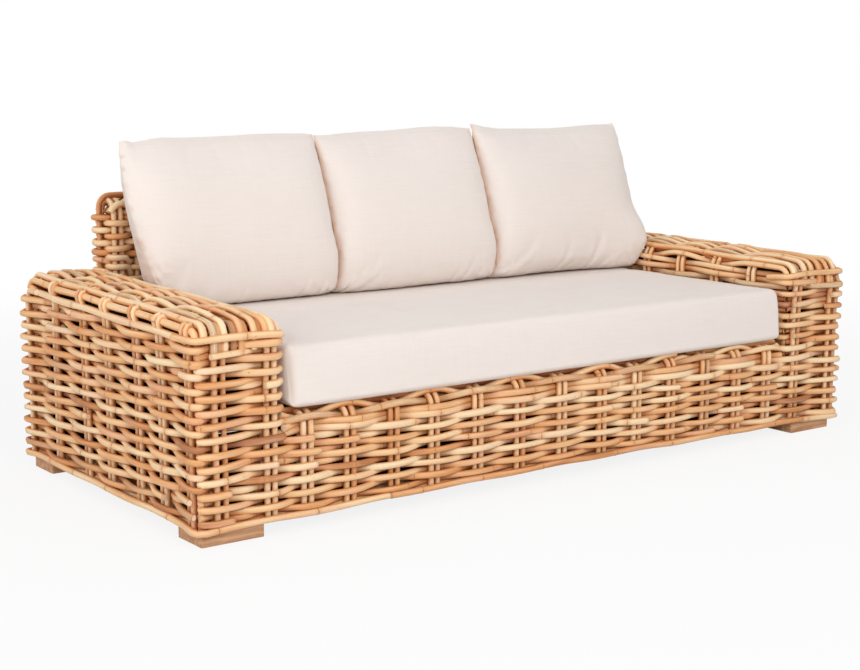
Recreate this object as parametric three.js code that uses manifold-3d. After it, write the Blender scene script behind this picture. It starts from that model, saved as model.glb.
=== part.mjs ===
// A three-seat garden sofa: a frame of rattan poles clad in woven cane walls,
// on four wooden block feet, with one long seat cushion and three loose back cushions.
// Millimetres, +Z up. The sofa faces -Y, and the origin is on the floor under its middle.
import * as THREE from 'three';
import { mergeVertices } from 'three/addons/utils/BufferGeometryUtils.js';
import Module from 'manifold-3d';

const wasm = await Module();
wasm.setup();

// Overall sizes, over the woven sides
const sofaWidth = 2200;
const sofaDepth = 994;
const armWidth = 240;
const armHeight = 516;
const deckHeight = 293;
const panelHeight = 752;
const panelThickness = 110;
const edgeRadius = 48;

// Room that touching pieces keep
const clearance = 0.3;
const cushionClearance = 3;

// The weave. One band stands for a few neighbouring canes, and a stake for a pair of them.
const bandPitch = 56;
const hiddenBandPitch = 110;
const bandFillShare = 0.86;
const shoulderBandHeight = 24;
const bandThickness = 12;
const stakeWidth = 32;
const stakeThickness = 10;
const stakePitch = 133.5;
const weaveGap = 0.4;
const borderHeight = 14;
const borderThickness = 17;
const cornerStakeWidth = 13;
const stakeSeat = 3; // how deep a stake stands in its border

// The pole frame
const poleDiameter = 32;
const poleSides = 8;
const slatCount = 8;
const slatWidth = 110;
const slatRoundover = 3;
const backPostWidth = 45;
const backPostShares = [-0.75, -0.25, 0.25, 0.75];
const panelRailHeight = 40;

// The feet
const footWidth = 167;
const footDepth = 117;
const footInset = 10.5;
const footHeight = 31;
const footChamfer = 3;

// The cushions
const seatCushionHeight = 157;
const seatCushionSetback = 30;
const seatCushionCorner = 70;
const seatCushionDrawIn = 7;
const backCushionHeight = 466;
const backCushionDepth = 238;
const backCushionEar = 20; // how far its top corners stand above the middle of its top seam
const backCushionDrawIn = 12;
const backCushionPitch = 574;

const halfWidth = sofaWidth / 2;
const halfDepth = sofaDepth / 2;
const armInside = halfWidth - armWidth;
const poleRadius = poleDiameter / 2;

// Every wall's stakes stand at about the same pitch. The tightest one sets how far a band
// swings out at a stake, so that it clears the stake's two edges on its way across.
const spansAt = (length) => Math.max(1, Math.round(length / stakePitch));
const straightLengths = [
  sofaWidth - 2 * edgeRadius,
  sofaDepth - 2 * edgeRadius,
  2 * armInside - panelThickness,
  armWidth - 2 * edgeRadius,
];
const tightestPitch = Math.min(...straightLengths.map((length) => length / spansAt(length)));
const swing = (stakeThickness / 2 + bandThickness / 2 + weaveGap) / (1 - stakeWidth / tightestPitch);
const wallThickness = 2 * swing + bandThickness;
const stakeInset = wallThickness / 2;
const bendRadius = edgeRadius - stakeInset;
const panelRadius = panelThickness / 2;
const panelBend = panelRadius - stakeInset;

// Heights that the walls and the frame share
const armWallTop = armHeight - edgeRadius;
const deckWallTop = deckHeight - edgeRadius;
const panelWallTop = panelHeight - panelRadius;
const panelMiddle = halfDepth - panelRadius;
const panelFront = halfDepth - panelThickness;

const X = new THREE.Vector3(1, 0, 0);
const Y = new THREE.Vector3(0, 1, 0);
const Z = new THREE.Vector3(0, 0, 1);
const quarter = Math.PI / 2;
const eighth = Math.PI / 4;

function material(color, roughness) {
  return new THREE.MeshStandardMaterial({ color, roughness, metalness: 0 });
}
const canes = () => material(0xc79a62, 0.55);
const poles = () => material(0xb98a55, 0.6);
const timber = () => material(0xa9784f, 0.65);
const linen = () => material(0xece4dc, 0.9);

const sofa = new THREE.Group();
function place(name, geometry, finish) {
  geometry.computeVertexNormals();
  const mesh = new THREE.Mesh(geometry, finish);
  mesh.name = name;
  sofa.add(mesh);
  return mesh;
}

// Solids and joins

function closedGeometry(points, triangles) {
  const geometry = new THREE.BufferGeometry();
  const positions = points.flatMap((p) => [p.x, p.y, p.z]);
  geometry.setAttribute('position', new THREE.Float32BufferAttribute(positions, 3));
  let volume = 0;
  for (let i = 0; i < triangles.length; i += 3) {
    const [a, b, c] = [points[triangles[i]], points[triangles[i + 1]], points[triangles[i + 2]]];
    volume += a.dot(b.clone().cross(c));
  }
  const outward = volume < 0 ? triangles.slice().reverse() : triangles;
  geometry.setIndex(outward);
  return geometry;
}

// Skins a row of rings that all have the same number of points, and caps both ends
function skin(rings, isLoop = false) {
  const count = rings[0].length;
  const triangles = [];
  const spans = isLoop ? rings.length : rings.length - 1;
  for (let i = 0; i < spans; i += 1) {
    const here = i * count;
    const next = ((i + 1) % rings.length) * count;
    for (let j = 0; j < count; j += 1) {
      const k = (j + 1) % count;
      triangles.push(here + j, here + k, next + k, here + j, next + k, next + j);
    }
  }
  if (!isLoop) {
    const last = (rings.length - 1) * count;
    for (let j = 1; j < count - 1; j += 1) {
      triangles.push(0, j + 1, j);
      triangles.push(last, last + j, last + j + 1);
    }
  }
  return closedGeometry(rings.flat(), triangles);
}

// The same surface with one vertex at each place
function welded(geometry) {
  const bare = geometry.clone();
  bare.deleteAttribute('normal');
  bare.deleteAttribute('uv');
  return mergeVertices(bare);
}

function toSolid(geometry) {
  const merged = welded(geometry);
  return new wasm.Manifold(new wasm.Mesh({
    numProp: 3,
    vertProperties: new Float32Array(merged.attributes.position.array),
    triVerts: new Uint32Array(merged.index.array),
  }));
}

function joined(geometries) {
  const whole = geometries.map(toSolid).reduce((sum, piece) => sum.add(piece));
  const mesh = whole.getMesh();
  const geometry = new THREE.BufferGeometry();
  geometry.setAttribute('position', new THREE.Float32BufferAttribute(mesh.vertProperties, 3));
  geometry.setIndex(Array.from(mesh.triVerts));
  return geometry;
}

// The weave

// A straight line of some length whose ends may bend inward round an edge.
// at(s) gives a place along it, how far it has sunk, and the angle that it has turned.
function edgedLine(length, radius, startAngle, endAngle) {
  const bent = (corner, angle) => ({
    along: corner + radius * Math.sin(angle),
    out: radius * (Math.cos(angle) - 1),
    angle,
  });
  return {
    length,
    start: -radius * startAngle,
    end: length + radius * endAngle,
    at(s) {
      if (s < 0) return bent(0, s / radius);
      if (s > length) return bent(length, (s - length) / radius);
      return { along: s, out: 0, angle: 0 };
    },
    bends: [
      ...bendSteps(startAngle).map((angle) => -radius * angle),
      ...bendSteps(endAngle).map((angle) => length + radius * angle),
    ],
  };
}

// The angles inside a bend that need a ring of their own, one every eighth of a turn
function bendSteps(angle) {
  const steps = Math.round(angle / eighth);
  return Array.from({ length: Math.max(0, steps - 1) }, (_, i) => ((i + 1) * angle) / steps);
}

// A surface that such a line sweeps out: origin is the line's start, `along` and `out` span
// its plane, and `up` is the way across. endStation lies a little way in from either end.
function surface(line, origin, along, out, up) {
  function station(s, height, offset = 0) {
    const { along: a, out: o, angle } = line.at(s);
    const normal = along.clone().multiplyScalar(Math.sin(angle)).addScaledVector(out, Math.cos(angle));
    const tangent = along.clone().multiplyScalar(Math.cos(angle)).addScaledVector(out, -Math.sin(angle));
    const point = origin.clone()
      .addScaledVector(along, a)
      .addScaledVector(out, o)
      .addScaledVector(normal, offset)
      .addScaledVector(up, height);
    return { point, normal, tangent, up };
  }
  function endStation(end, inset, height) {
    const spot = station(end < 0 ? line.start : line.end, height);
    spot.point.addScaledVector(spot.tangent, -end * inset);
    return spot;
  }
  return { line, station, endStation };
}

// Sections, as rings of four points about a place
function ridgedRing({ point, normal }, side, height) {
  const half = height / 2;
  return [
    point.clone().addScaledVector(side, half),
    point.clone().addScaledVector(normal, bandThickness / 2),
    point.clone().addScaledVector(side, -half),
    point.clone().addScaledVector(normal, -bandThickness / 2),
  ];
}

function squareRing({ point, normal }, side, width, thickness) {
  return [[1, 1], [-1, 1], [-1, -1], [1, -1]].map(([a, b]) => point.clone()
    .addScaledVector(side, (a * width) / 2)
    .addScaledVector(normal, (b * thickness) / 2));
}

// Where the stakes of a wall stand: at an end of the straight that has a bend, or else
// half a pitch in from it
function stakePlaces(line) {
  const first = line.start < 0 ? 0 : 0.5;
  const last = line.end > line.length ? 0 : 0.5;
  const count = spansAt(line.length) + (first + last === 0 ? 1 : 0);
  const pitch = line.length / (count - 1 + first + last);
  return Array.from({ length: count }, (_, i) => (i + first) * pitch);
}

// One band, in front of every other stake and behind the rest. Its ends are `inset` from the
// line's ends, inside what holds them.
function band(face, height, phase, size, inset) {
  const { line } = face;
  const stakes = stakePlaces(line);
  const offsets = stakes.map((_, i) => ((i + phase) % 2 ? -swing : swing));
  const middle = stakes.map((s, i) => face.station(s, height, offsets[i]));
  const startBends = line.bends.filter((s) => s < 0);
  const endBends = line.bends.filter((s) => s > line.length);
  const spots = [
    face.endStation(-1, inset, height),
    ...startBends.map((s) => face.station(s, height, offsets[0] / 2)),
    ...middle,
    ...endBends.map((s) => face.station(s, height, offsets[offsets.length - 1] / 2)),
    face.endStation(1, inset, height),
  ];
  return skin(spots.map((spot) => ridgedRing(spot, spot.up, size)));
}

// A cane along the foot or the head of a wall
function border(face, height) {
  const { line } = face;
  const corners = [0, line.length].filter((s) => s > line.start && s < line.end);
  const turns = [...corners, ...line.bends].sort((a, b) => a - b);
  const spots = [
    face.endStation(-1, clearance / 2, height),
    ...turns.map((s) => face.station(s, height)),
    face.endStation(1, clearance / 2, height),
  ];
  return skin(spots.map((spot) => squareRing(spot, spot.up, borderHeight, borderThickness)));
}

function upright(stationAt, low, high, width, thickness) {
  return skin([low, high].map((height) => {
    const spot = stationAt(height);
    return squareRing(spot, spot.tangent, width, thickness);
  }));
}

// A wall of bands between two borders and two corner stakes
function wovenWall(face, low, high, phase, pitch = bandPitch) {
  const pieces = [border(face, low + borderHeight / 2), border(face, high - borderHeight / 2)];
  for (const s of stakePlaces(face.line)) {
    const stationAt = (height) => face.station(s, height);
    pieces.push(upright(stationAt, low + stakeSeat, high - stakeSeat, stakeWidth, stakeThickness));
  }
  const inset = (cornerStakeWidth + clearance) / 2;
  for (const end of [-1, 1]) {
    const stationAt = (height) => face.endStation(end, inset, height);
    pieces.push(upright(stationAt, low, high, cornerStakeWidth, borderThickness));
  }
  const room = high - low - 2 * borderHeight;
  const rows = Math.max(1, Math.round(room / pitch));
  const size = Math.min(room / rows, bandPitch) * bandFillShare;
  for (let row = 0; row < rows; row += 1) {
    const height = low + borderHeight + ((row + 0.5) * room) / rows;
    pieces.push(band(face, height, row + phase, size, inset));
  }
  return joined(pieces);
}

// A stake that is bent over an edge or over a whole top
function archedStake(face, height, width, thickness, inset) {
  const { line } = face;
  const corners = [0, line.length].filter((s) => s > line.start && s < line.end);
  const turns = [...new Set([...corners, ...line.bends])].sort((a, b) => a - b);
  const spots = [
    face.endStation(-1, inset, height),
    ...turns.map((s) => face.station(s, height)),
    face.endStation(1, inset, height),
  ];
  return skin(spots.map((spot) => squareRing(spot, spot.up, width, thickness)));
}

// A closed cane ring round the foot of a top, on a rectangle with rounded corners
function ringBorder(halfLength, halfBreadth, radius, steps) {
  const corners = [[1, 1, 0], [-1, 1, 1], [-1, -1, 2], [1, -1, 3]];
  const rings = corners.flatMap(([a, b, turns]) => Array.from({ length: steps + 1 }, (_, i) => {
    const angle = turns * quarter + (i * quarter) / steps;
    const normal = new THREE.Vector3(Math.cos(angle), Math.sin(angle), 0);
    const centre = [a * (halfLength - radius), b * (halfBreadth - radius), borderHeight / 2];
    const point = new THREE.Vector3(...centre).addScaledVector(normal, radius);
    return squareRing({ point, normal }, Z, borderHeight, borderThickness);
  }));
  const isDistinct = (ring, i) => ring[0].distanceTo(rings[(i + 1) % rings.length][0]) > clearance;
  return skin(rings.filter(isDistinct), true);
}

// A woven top over a box, lying along X: a ring border, stakes arched across it, and bands
// along it that drop into the ring at both ends. `shoulders` are the angles down its sides
// that carry a narrower band.
function wovenTop(halfLength, halfBreadth, radius, shoulders, phase) {
  const longHalf = halfLength - radius;
  const crossHalf = halfBreadth - radius;
  const crossLine = edgedLine(2 * crossHalf, radius, quarter, quarter);
  const cross = surface(crossLine, new THREE.Vector3(0, -crossHalf, radius), Y, Z, X);
  const pieces = [ringBorder(halfLength, halfBreadth, radius, 2)];
  const stakes = stakePlaces(edgedLine(2 * longHalf, radius, quarter, quarter));
  for (const s of stakes) {
    pieces.push(archedStake(cross, s - longHalf, stakeWidth, stakeThickness, borderHeight / 2));
  }
  const rows = Math.floor(crossLine.length / bandPitch);
  const flats = Array.from({ length: rows }, (_, row) => ({
    s: crossHalf + (row - (rows - 1) / 2) * bandPitch,
    size: bandPitch * bandFillShare,
  }));
  const rounds = shoulders.map((angle) => ({
    s: angle > 0 ? crossLine.length + radius * angle : radius * angle,
    size: shoulderBandHeight,
  }));
  [...flats, ...rounds].sort((a, b) => a.s - b.s).forEach(({ s, size }, row) => {
    const xs = stakes.map((place) => place - longHalf);
    pieces.push(topBand(cross.station(s, 0), xs, radius, row + phase, size));
  });
  return joined(pieces);
}

// One band of a top. `spot` is where it lies across the top, and `xs` are the stakes' places.
function topBand(spot, xs, radius, phase, size) {
  const base = spot.point.clone().addScaledVector(spot.normal, -radius);
  const ringAt = (x, offset, end, turn) => {
    const tip = (v) => new THREE.Vector3(end * v.z * Math.sin(turn), v.y, v.z * Math.cos(turn));
    const point = tip(spot.normal.clone().multiplyScalar(radius + offset)).add(base).addScaledVector(X, x);
    return ridgedRing({ point, normal: tip(spot.normal) }, tip(spot.tangent), size);
  };
  const swingAt = (i) => ((i + phase) % 2 ? -swing : swing);
  const endTurn = Math.acos(borderHeight / 2 / (radius * spot.normal.z));
  const last = xs.length - 1;
  return skin([
    ringAt(xs[0], 0, -1, endTurn),
    ringAt(xs[0], swingAt(0) / 2, -1, eighth),
    ...xs.map((x, i) => ringAt(x, swingAt(i), 1, 0)),
    ringAt(xs[last], swingAt(last) / 2, 1, eighth),
    ringAt(xs[last], 0, 1, endTurn),
  ]);
}

// Walls of the sofa, each on the line that its stakes stand on

const stakeX = halfWidth - stakeInset;
const stakeY = halfDepth - stakeInset;

function wallFace(from, along, out, length, radius, startAngle, endAngle) {
  return surface(edgedLine(length, radius, startAngle, endAngle), from, along, out, Z);
}

// A wall along X across the front or the back of the sofa
function crossWall(side, low, high, phase) {
  const length = sofaWidth - 2 * edgeRadius;
  const from = new THREE.Vector3(-length / 2, side * stakeY, 0);
  const face = wallFace(from, X, Y.clone().multiplyScalar(side), length, bendRadius, eighth, eighth);
  return wovenWall(face, low, high, phase);
}

function buildWeave() {
  place('front_weave', crossWall(-1, footHeight, deckWallTop, 0), canes());
  place('rear_weave', crossWall(1, footHeight, armWallTop, 1), canes());

  for (const [name, side] of [['left', -1], ['right', 1]]) {
    const outward = X.clone().multiplyScalar(side);
    const inward = X.clone().multiplyScalar(-side);
    const sideLength = sofaDepth - 2 * edgeRadius;

    const outerFrom = new THREE.Vector3(side * stakeX, -sideLength / 2, 0);
    const outer = wallFace(outerFrom, Y, outward, sideLength, bendRadius, eighth, eighth);
    place(`arm_outer_weave_${name}`, wovenWall(outer, footHeight, armWallTop, 1), canes());

    const faceFrom = new THREE.Vector3(side * (armInside + edgeRadius), -stakeY, 0);
    const faceLength = armWidth - 2 * edgeRadius;
    const face = wallFace(faceFrom, outward, Y.clone().negate(), faceLength, bendRadius, eighth, eighth);
    place(`arm_front_weave_${name}`, wovenWall(face, deckWallTop + clearance, armWallTop, 0), canes());

    const innerFrom = new THREE.Vector3(side * (armInside + stakeInset), -(halfDepth - edgeRadius), 0);
    const innerLength = sofaDepth - edgeRadius - wallThickness - clearance;
    const inner = wallFace(innerFrom, Y, inward, innerLength, bendRadius, eighth, 0);
    place(`arm_inner_weave_${name}`, wovenWall(inner, deckHeight + clearance, armWallTop, 1), canes());

    const [halfLength, halfBreadth] = [halfDepth - stakeInset, armWidth / 2 - stakeInset];
    const top = wovenTop(halfLength, halfBreadth, bendRadius, [-eighth, eighth], 0);
    const lid = place(`arm_top_weave_${name}`, top, canes());
    lid.rotation.z = quarter;
    lid.position.set(side * (armInside + armWidth / 2), 0, armWallTop + clearance);
  }

  const panelLength = 2 * (armInside - clearance) - panelThickness;
  const panelFaces = [
    ['panel_front_weave', -1, deckHeight + clearance, hiddenBandPitch],
    ['panel_rear_weave', 1, armWallTop + clearance, bandPitch],
  ];
  for (const [name, side, low, pitch] of panelFaces) {
    const y = panelMiddle + side * panelBend;
    const from = new THREE.Vector3(-panelLength / 2, y, 0);
    const out = Y.clone().multiplyScalar(side);
    const face = wallFace(from, X, out, panelLength, panelBend, quarter, quarter);
    place(name, wovenWall(face, low, panelWallTop, 0, pitch), canes());
  }
  const top = wovenTop(panelLength / 2 + panelBend, panelBend, panelBend, [-eighth, 0, eighth], 1);
  place('panel_top_weave', top, canes()).position.set(0, panelMiddle, panelWallTop + clearance);

  place('deck_edge_weave', deckEdge(), canes());
}

// The rounded front edge of the seat: stakes bent back over it, and one band along it
function deckEdge() {
  const halfLength = armInside - clearance;
  const line = edgedLine(0, bendRadius, quarter, 0);
  const crown = new THREE.Vector3(0, -(halfDepth - edgeRadius), deckWallTop + clearance + bendRadius);
  const arch = surface(line, crown, Y, Z, X);
  const inset = borderHeight / 2;
  const stakes = stakePlaces(edgedLine(2 * halfLength, bendRadius, 0, 0)).map((s) => s - halfLength);
  const endX = halfLength - cornerStakeWidth / 2;
  const pieces = [-1, 1].map((end) => skin([-halfLength, halfLength].map((x) => {
    const spot = arch.endStation(end, inset, x);
    return squareRing(spot, spot.tangent, borderHeight, borderThickness);
  })));
  for (const x of stakes) pieces.push(archedStake(arch, x, stakeWidth, stakeThickness, inset));
  for (const x of [-endX, endX]) {
    pieces.push(archedStake(arch, x, cornerStakeWidth, borderThickness, inset));
  }
  const knots = stakes.map((x, i) => [x, i % 2 ? -swing : swing]);
  const rings = [[-endX, 0], ...knots, [endX, 0]].map(([x, offset]) => {
    const spot = arch.station(line.start / 2, x, offset);
    return ridgedRing(spot, spot.tangent, shoulderBandHeight);
  });
  pieces.push(skin(rings));
  return joined(pieces);
}

// The frame

// A rattan pole with flats towards what it touches. `axis` is x, y or z.
function pole(axis, from, to) {
  const length = to - from;
  const corner = poleRadius / Math.cos(Math.PI / poleSides);
  const half = Math.PI / poleSides;
  const geometry = new THREE.CylinderGeometry(corner, corner, length, poleSides, 1, false, half);
  if (axis === 'x') geometry.rotateZ(quarter);
  if (axis === 'z') geometry.rotateX(quarter);
  const shift = { x: [1, 0, 0], y: [0, 1, 0], z: [0, 0, 1] }[axis].map((n) => (n * (from + to)) / 2);
  return geometry.translate(...shift);
}

function placePole(name, axis, from, to, centre) {
  place(name, pole(axis, from, to), poles()).position.set(...centre);
}

const behindWall = wallThickness + clearance + poleRadius;
const railX = halfWidth - behindWall;
const railY = halfDepth - behindWall;
const innerX = armInside + behindWall;
const baseRailZ = footHeight + poleRadius;
const postFoot = baseRailZ + poleRadius + clearance;
const topRailZ = armHeight - wallThickness - clearance - poleRadius;
const postHead = topRailZ - poleRadius - clearance;
const seatRailTop = deckWallTop + clearance + bendRadius + borderThickness / 2;
const seatRailZ = seatRailTop - poleRadius;
// The bands on the deck's edge may reach a little behind the edge's own bend
const edgeReach = Math.max(0, (shoulderBandHeight / 2 - bendRadius + swing) * Math.SQRT1_2);
const deckFrontY = -(halfDepth - edgeRadius) + edgeReach + clearance;
const seatRailFrontY = deckFrontY + poleRadius;
const seatRailEnd = innerX - poleRadius - clearance;
const slatThickness = deckHeight - seatRailTop - clearance;

function buildFrame() {
  const ends = halfWidth - edgeRadius;
  const sideEnds = railY - poleRadius - clearance;
  placePole('base_rail_front', 'x', -ends, ends, [0, -railY, baseRailZ]);
  placePole('base_rail_rear', 'x', -ends, ends, [0, railY, baseRailZ]);
  placePole('seat_rail_front', 'x', -seatRailEnd, seatRailEnd, [0, seatRailFrontY, seatRailZ]);
  placePole('seat_rail_rear', 'x', -seatRailEnd, seatRailEnd, [0, railY, seatRailZ]);
  const strutHead = seatRailZ - poleRadius - clearance;
  placePole('seat_strut_front', 'z', postFoot, strutHead, [0, seatRailFrontY, 0]);
  placePole('seat_strut_rear', 'z', postFoot, strutHead, [0, railY, 0]);
  const topEnds = halfDepth - edgeRadius;
  for (const [name, side] of [['left', -1], ['right', 1]]) {
    placePole(`base_rail_${name}`, 'y', -sideEnds, sideEnds, [side * railX, 0, baseRailZ]);
    placePole(`arm_rail_outer_${name}`, 'y', -topEnds, topEnds, [side * railX, 0, topRailZ]);
    placePole(`arm_rail_inner_${name}`, 'y', -topEnds, topEnds, [side * innerX, 0, topRailZ]);
    for (const [end, y] of [['front', -railY], ['rear', railY]]) {
      placePole(`post_outer_${end}_${name}`, 'z', postFoot, postHead, [side * railX, y, 0]);
      placePole(`post_inner_${end}_${name}`, 'z', postFoot, postHead, [side * innerX, y, 0]);
      const room = (railX - innerX) / 2 - poleRadius - clearance;
      const middle = (side * (railX + innerX)) / 2;
      placePole(`arm_spreader_${end}_${name}`, 'x', -room, room, [middle, y, topRailZ]);
    }
  }
  buildSeatDeck();
  buildPanelFrame();
}

// A flat board with its long edges rounded over, standing on its foot, as a slat or a post
function board(width, thickness, length) {
  const r = Math.min(slatRoundover, thickness / 4);
  const outline = new THREE.Shape();
  outline.moveTo(-width / 2 + r, -thickness / 2);
  outline.lineTo(width / 2 - r, -thickness / 2);
  outline.lineTo(width / 2, -thickness / 2 + r);
  outline.lineTo(width / 2, thickness / 2 - r);
  outline.lineTo(width / 2 - r, thickness / 2);
  outline.lineTo(-width / 2 + r, thickness / 2);
  outline.lineTo(-width / 2, thickness / 2 - r);
  outline.lineTo(-width / 2, -thickness / 2 + r);
  return new THREE.ExtrudeGeometry(outline, { depth: length, bevelEnabled: false, steps: 1 });
}

const postThickness = panelThickness - 2 * wallThickness - 2 * clearance;
const postFrontY = panelFront + wallThickness + clearance;

function buildSeatDeck() {
  const length = postFrontY - clearance - deckFrontY;
  const pitch = (2 * armInside) / slatCount;
  for (let i = 0; i < slatCount; i += 1) {
    const slat = welded(board(slatWidth, slatThickness, length)).rotateX(-quarter);
    const x = (i - (slatCount - 1) / 2) * pitch;
    place(`seat_slat_${i + 1}`, slat, timber()).position.set(x, deckFrontY, deckHeight - slatThickness / 2);
  }
}

function buildPanelFrame() {
  const foot = seatRailTop + clearance;
  const head = panelWallTop - panelRailHeight - clearance;
  const flatHalf = armInside - panelRadius;
  backPostShares.forEach((share, i) => {
    const post = welded(board(backPostWidth, postThickness, head - foot));
    place(`back_post_${i + 1}`, post, timber()).position.set(share * flatHalf, panelMiddle, foot);
  });
  const rail = welded(board(postThickness, panelRailHeight, 2 * flatHalf));
  rail.rotateZ(quarter).rotateY(quarter).translate(-flatHalf, 0, 0);
  place('panel_top_rail', rail, timber()).position.set(0, panelMiddle, panelWallTop - panelRailHeight / 2);
}

function buildFeet() {
  const outline = new THREE.Shape();
  const [w, d, c] = [footWidth / 2, footDepth / 2, footChamfer];
  outline.moveTo(-w + c, -d);
  outline.lineTo(w - c, -d);
  outline.lineTo(w, -d + c);
  outline.lineTo(w, d - c);
  outline.lineTo(w - c, d);
  outline.lineTo(-w + c, d);
  outline.lineTo(-w, d - c);
  outline.lineTo(-w, -d + c);
  const x = halfWidth - footInset - footWidth / 2;
  const y = halfDepth - footInset - footDepth / 2;
  for (const [name, sx, sy] of [
    ['foot_front_left', -1, -1], ['foot_front_right', 1, -1],
    ['foot_rear_left', -1, 1], ['foot_rear_right', 1, 1],
  ]) {
    const height = footHeight - clearance;
    const block = new THREE.ExtrudeGeometry(outline, { depth: height, bevelEnabled: false, steps: 1 });
    place(name, welded(block), timber()).position.set(sx * x, sy * y, 0);
  }
}

// The cushions

// A boxed cushion: flat below, round at its edges, drawn in between its corners and
// crowned on top. Each level is [share of the height, share of the corner it is inset].
const seatCushionLevelShares = [
  [0, 0.85], [0.03, 0.3], [0.2, 0.04], [0.5, 0], [0.78, 0.08], [0.92, 0.33], [0.975, 0.95], [1, 2.6],
];
const tightestCornerShare = 0.25;
const cornerSteps = 3;
const sideSteps = [4, 8]; // across the depth, and along the length

function seatCushion() {
  const halfX = armInside - cushionClearance;
  const front = -halfDepth + seatCushionSetback;
  const rear = panelFront - cushionClearance;
  const halfY = (rear - front) / 2;
  const outlineAt = (inset, z) => {
    const corner = Math.max(seatCushionCorner - inset / 2, seatCushionCorner * tightestCornerShare);
    const [w, d] = [halfX - inset - corner, halfY - inset - corner];
    const points = [];
    for (const [a, b, turns] of [[1, 1, 0], [-1, 1, 1], [-1, -1, 2], [1, -1, 3]]) {
      for (let i = 0; i <= cornerSteps; i += 1) {
        const angle = turns * quarter + (i * quarter) / cornerSteps;
        points.push([a * w + corner * Math.cos(angle), b * d + corner * Math.sin(angle)]);
      }
      const steps = sideSteps[(turns + 1) % 2];
      const [fromX, fromY] = points[points.length - 1];
      const alongX = turns % 2 === 0;
      const [toX, toY] = alongX ? [-a * w, fromY] : [fromX, -b * d];
      for (let i = 1; i < steps; i += 1) {
        const share = i / steps;
        const pull = seatCushionDrawIn * Math.sin(Math.PI * share);
        const x = fromX + (toX - fromX) * share - (alongX ? 0 : Math.sign(fromX) * pull);
        const y = fromY + (toY - fromY) * share - (alongX ? Math.sign(fromY) * pull : 0);
        points.push([x, y]);
      }
    }
    return points.map(([x, y]) => new THREE.Vector3(x, y, z));
  };
  const rings = seatCushionLevelShares.map(([heightShare, insetShare]) => outlineAt(
    insetShare * seatCushionCorner,
    heightShare * (seatCushionHeight - clearance),
  ));
  const cushion = skin(rings);
  cushion.translate(0, (front + rear) / 2, deckHeight + clearance);
  return cushion;
}

// A back cushion's section at its fullest, from the top seam down the front and up the rear:
// [share of the height, share of the way from the belly back to the panel]
const backSectionShares = [
  [1, 0.64], [0.93, 0.53], [0.8, 0.36], [0.6, 0.19], [0.4, 0.07], [0.2, 0], [0.07, 0.02], [0, 0.12],
  [0, 0.86], [0.06, 0.97], [0.3, 1], [0.62, 1], [0.8, 0.95], [0.93, 0.79],
];
const seamShare = 0.62;
const edgeFullnessShare = 0.08;
const breadthShares = [-1, -0.985, -0.92, -0.75, -0.4, 0, 0.4, 0.75, 0.92, 0.985, 1];
const plumpness = 5; // the power that keeps a back cushion full until close to its side seams
const earSharpness = 6;

function backCushion(left, right) {
  const foot = deckHeight + seatCushionHeight + clearance;
  const belly = panelFront - cushionClearance - backCushionDepth;
  const [middle, half] = [(left + right) / 2, (right - left) / 2];
  const rings = breadthShares.map((u) => {
    const fullness = Math.max(edgeFullnessShare, Math.sqrt(1 - Math.abs(u) ** plumpness));
    const height = backCushionHeight - backCushionEar * (1 - u ** earSharpness);
    return backSectionShares.map(([rise, share]) => {
      const pulled = backCushionDrawIn * Math.sin(Math.PI * rise) * u * Math.abs(u);
      const y = belly + backCushionDepth * (seamShare + (share - seamShare) * fullness);
      return new THREE.Vector3(middle + u * half - pulled, y, foot + rise * height);
    });
  });
  return skin(rings);
}

function buildCushions() {
  place('seat_cushion', seatCushion(), linen());
  const joint = backCushionPitch / 2;
  const outer = armInside - cushionClearance;
  const gap = cushionClearance / 2;
  place('back_cushion_left', backCushion(-outer, -joint - gap), linen());
  place('back_cushion_centre', backCushion(-joint + gap, joint - gap), linen());
  place('back_cushion_right', backCushion(joint + gap, outer), linen());
}

buildFeet();
buildFrame();
buildWeave();
buildCushions();

export default sofa;
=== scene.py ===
import math

import bpy
import numpy as np
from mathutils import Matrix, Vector


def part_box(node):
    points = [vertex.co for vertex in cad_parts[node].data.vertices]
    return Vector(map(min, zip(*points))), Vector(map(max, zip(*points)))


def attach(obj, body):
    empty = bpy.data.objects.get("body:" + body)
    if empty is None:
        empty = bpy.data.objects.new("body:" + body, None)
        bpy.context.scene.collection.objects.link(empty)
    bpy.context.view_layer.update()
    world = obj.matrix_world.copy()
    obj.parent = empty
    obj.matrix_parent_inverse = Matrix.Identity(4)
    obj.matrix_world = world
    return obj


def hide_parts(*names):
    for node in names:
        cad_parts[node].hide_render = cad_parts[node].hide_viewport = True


# A rattan garden sofa: woven cane over a pole frame, with a seat cushion and three back cushions.
# Metres, +Z up, the seat faces -Y.

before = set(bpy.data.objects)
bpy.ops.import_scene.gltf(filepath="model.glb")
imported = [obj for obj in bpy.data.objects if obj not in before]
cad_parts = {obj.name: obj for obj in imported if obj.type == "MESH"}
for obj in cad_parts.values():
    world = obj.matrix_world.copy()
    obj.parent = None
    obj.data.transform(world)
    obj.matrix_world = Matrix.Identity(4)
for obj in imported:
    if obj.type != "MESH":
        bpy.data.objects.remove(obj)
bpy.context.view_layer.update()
scene = bpy.context.scene
scene.view_settings.view_transform = "Standard"
print("frame loaded with", len(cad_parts), "nodes")


# camera

view = {
    "place": (-2.7387, -3.6269, 1.0735),
    "pitchDown": 9.318,
    "turn": 36.218,
    "lens": 66.18,
}

cameraData = bpy.data.cameras.new("camera")
cameraData.lens = view["lens"]
cameraData.sensor_width = 36
camera = bpy.data.objects.new("camera", cameraData)
camera.location = view["place"]
camera.rotation_euler = (math.radians(90 - view["pitchDown"]), 0, math.radians(-view["turn"]))
scene.collection.objects.link(camera)
scene.camera = camera


# materials

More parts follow.
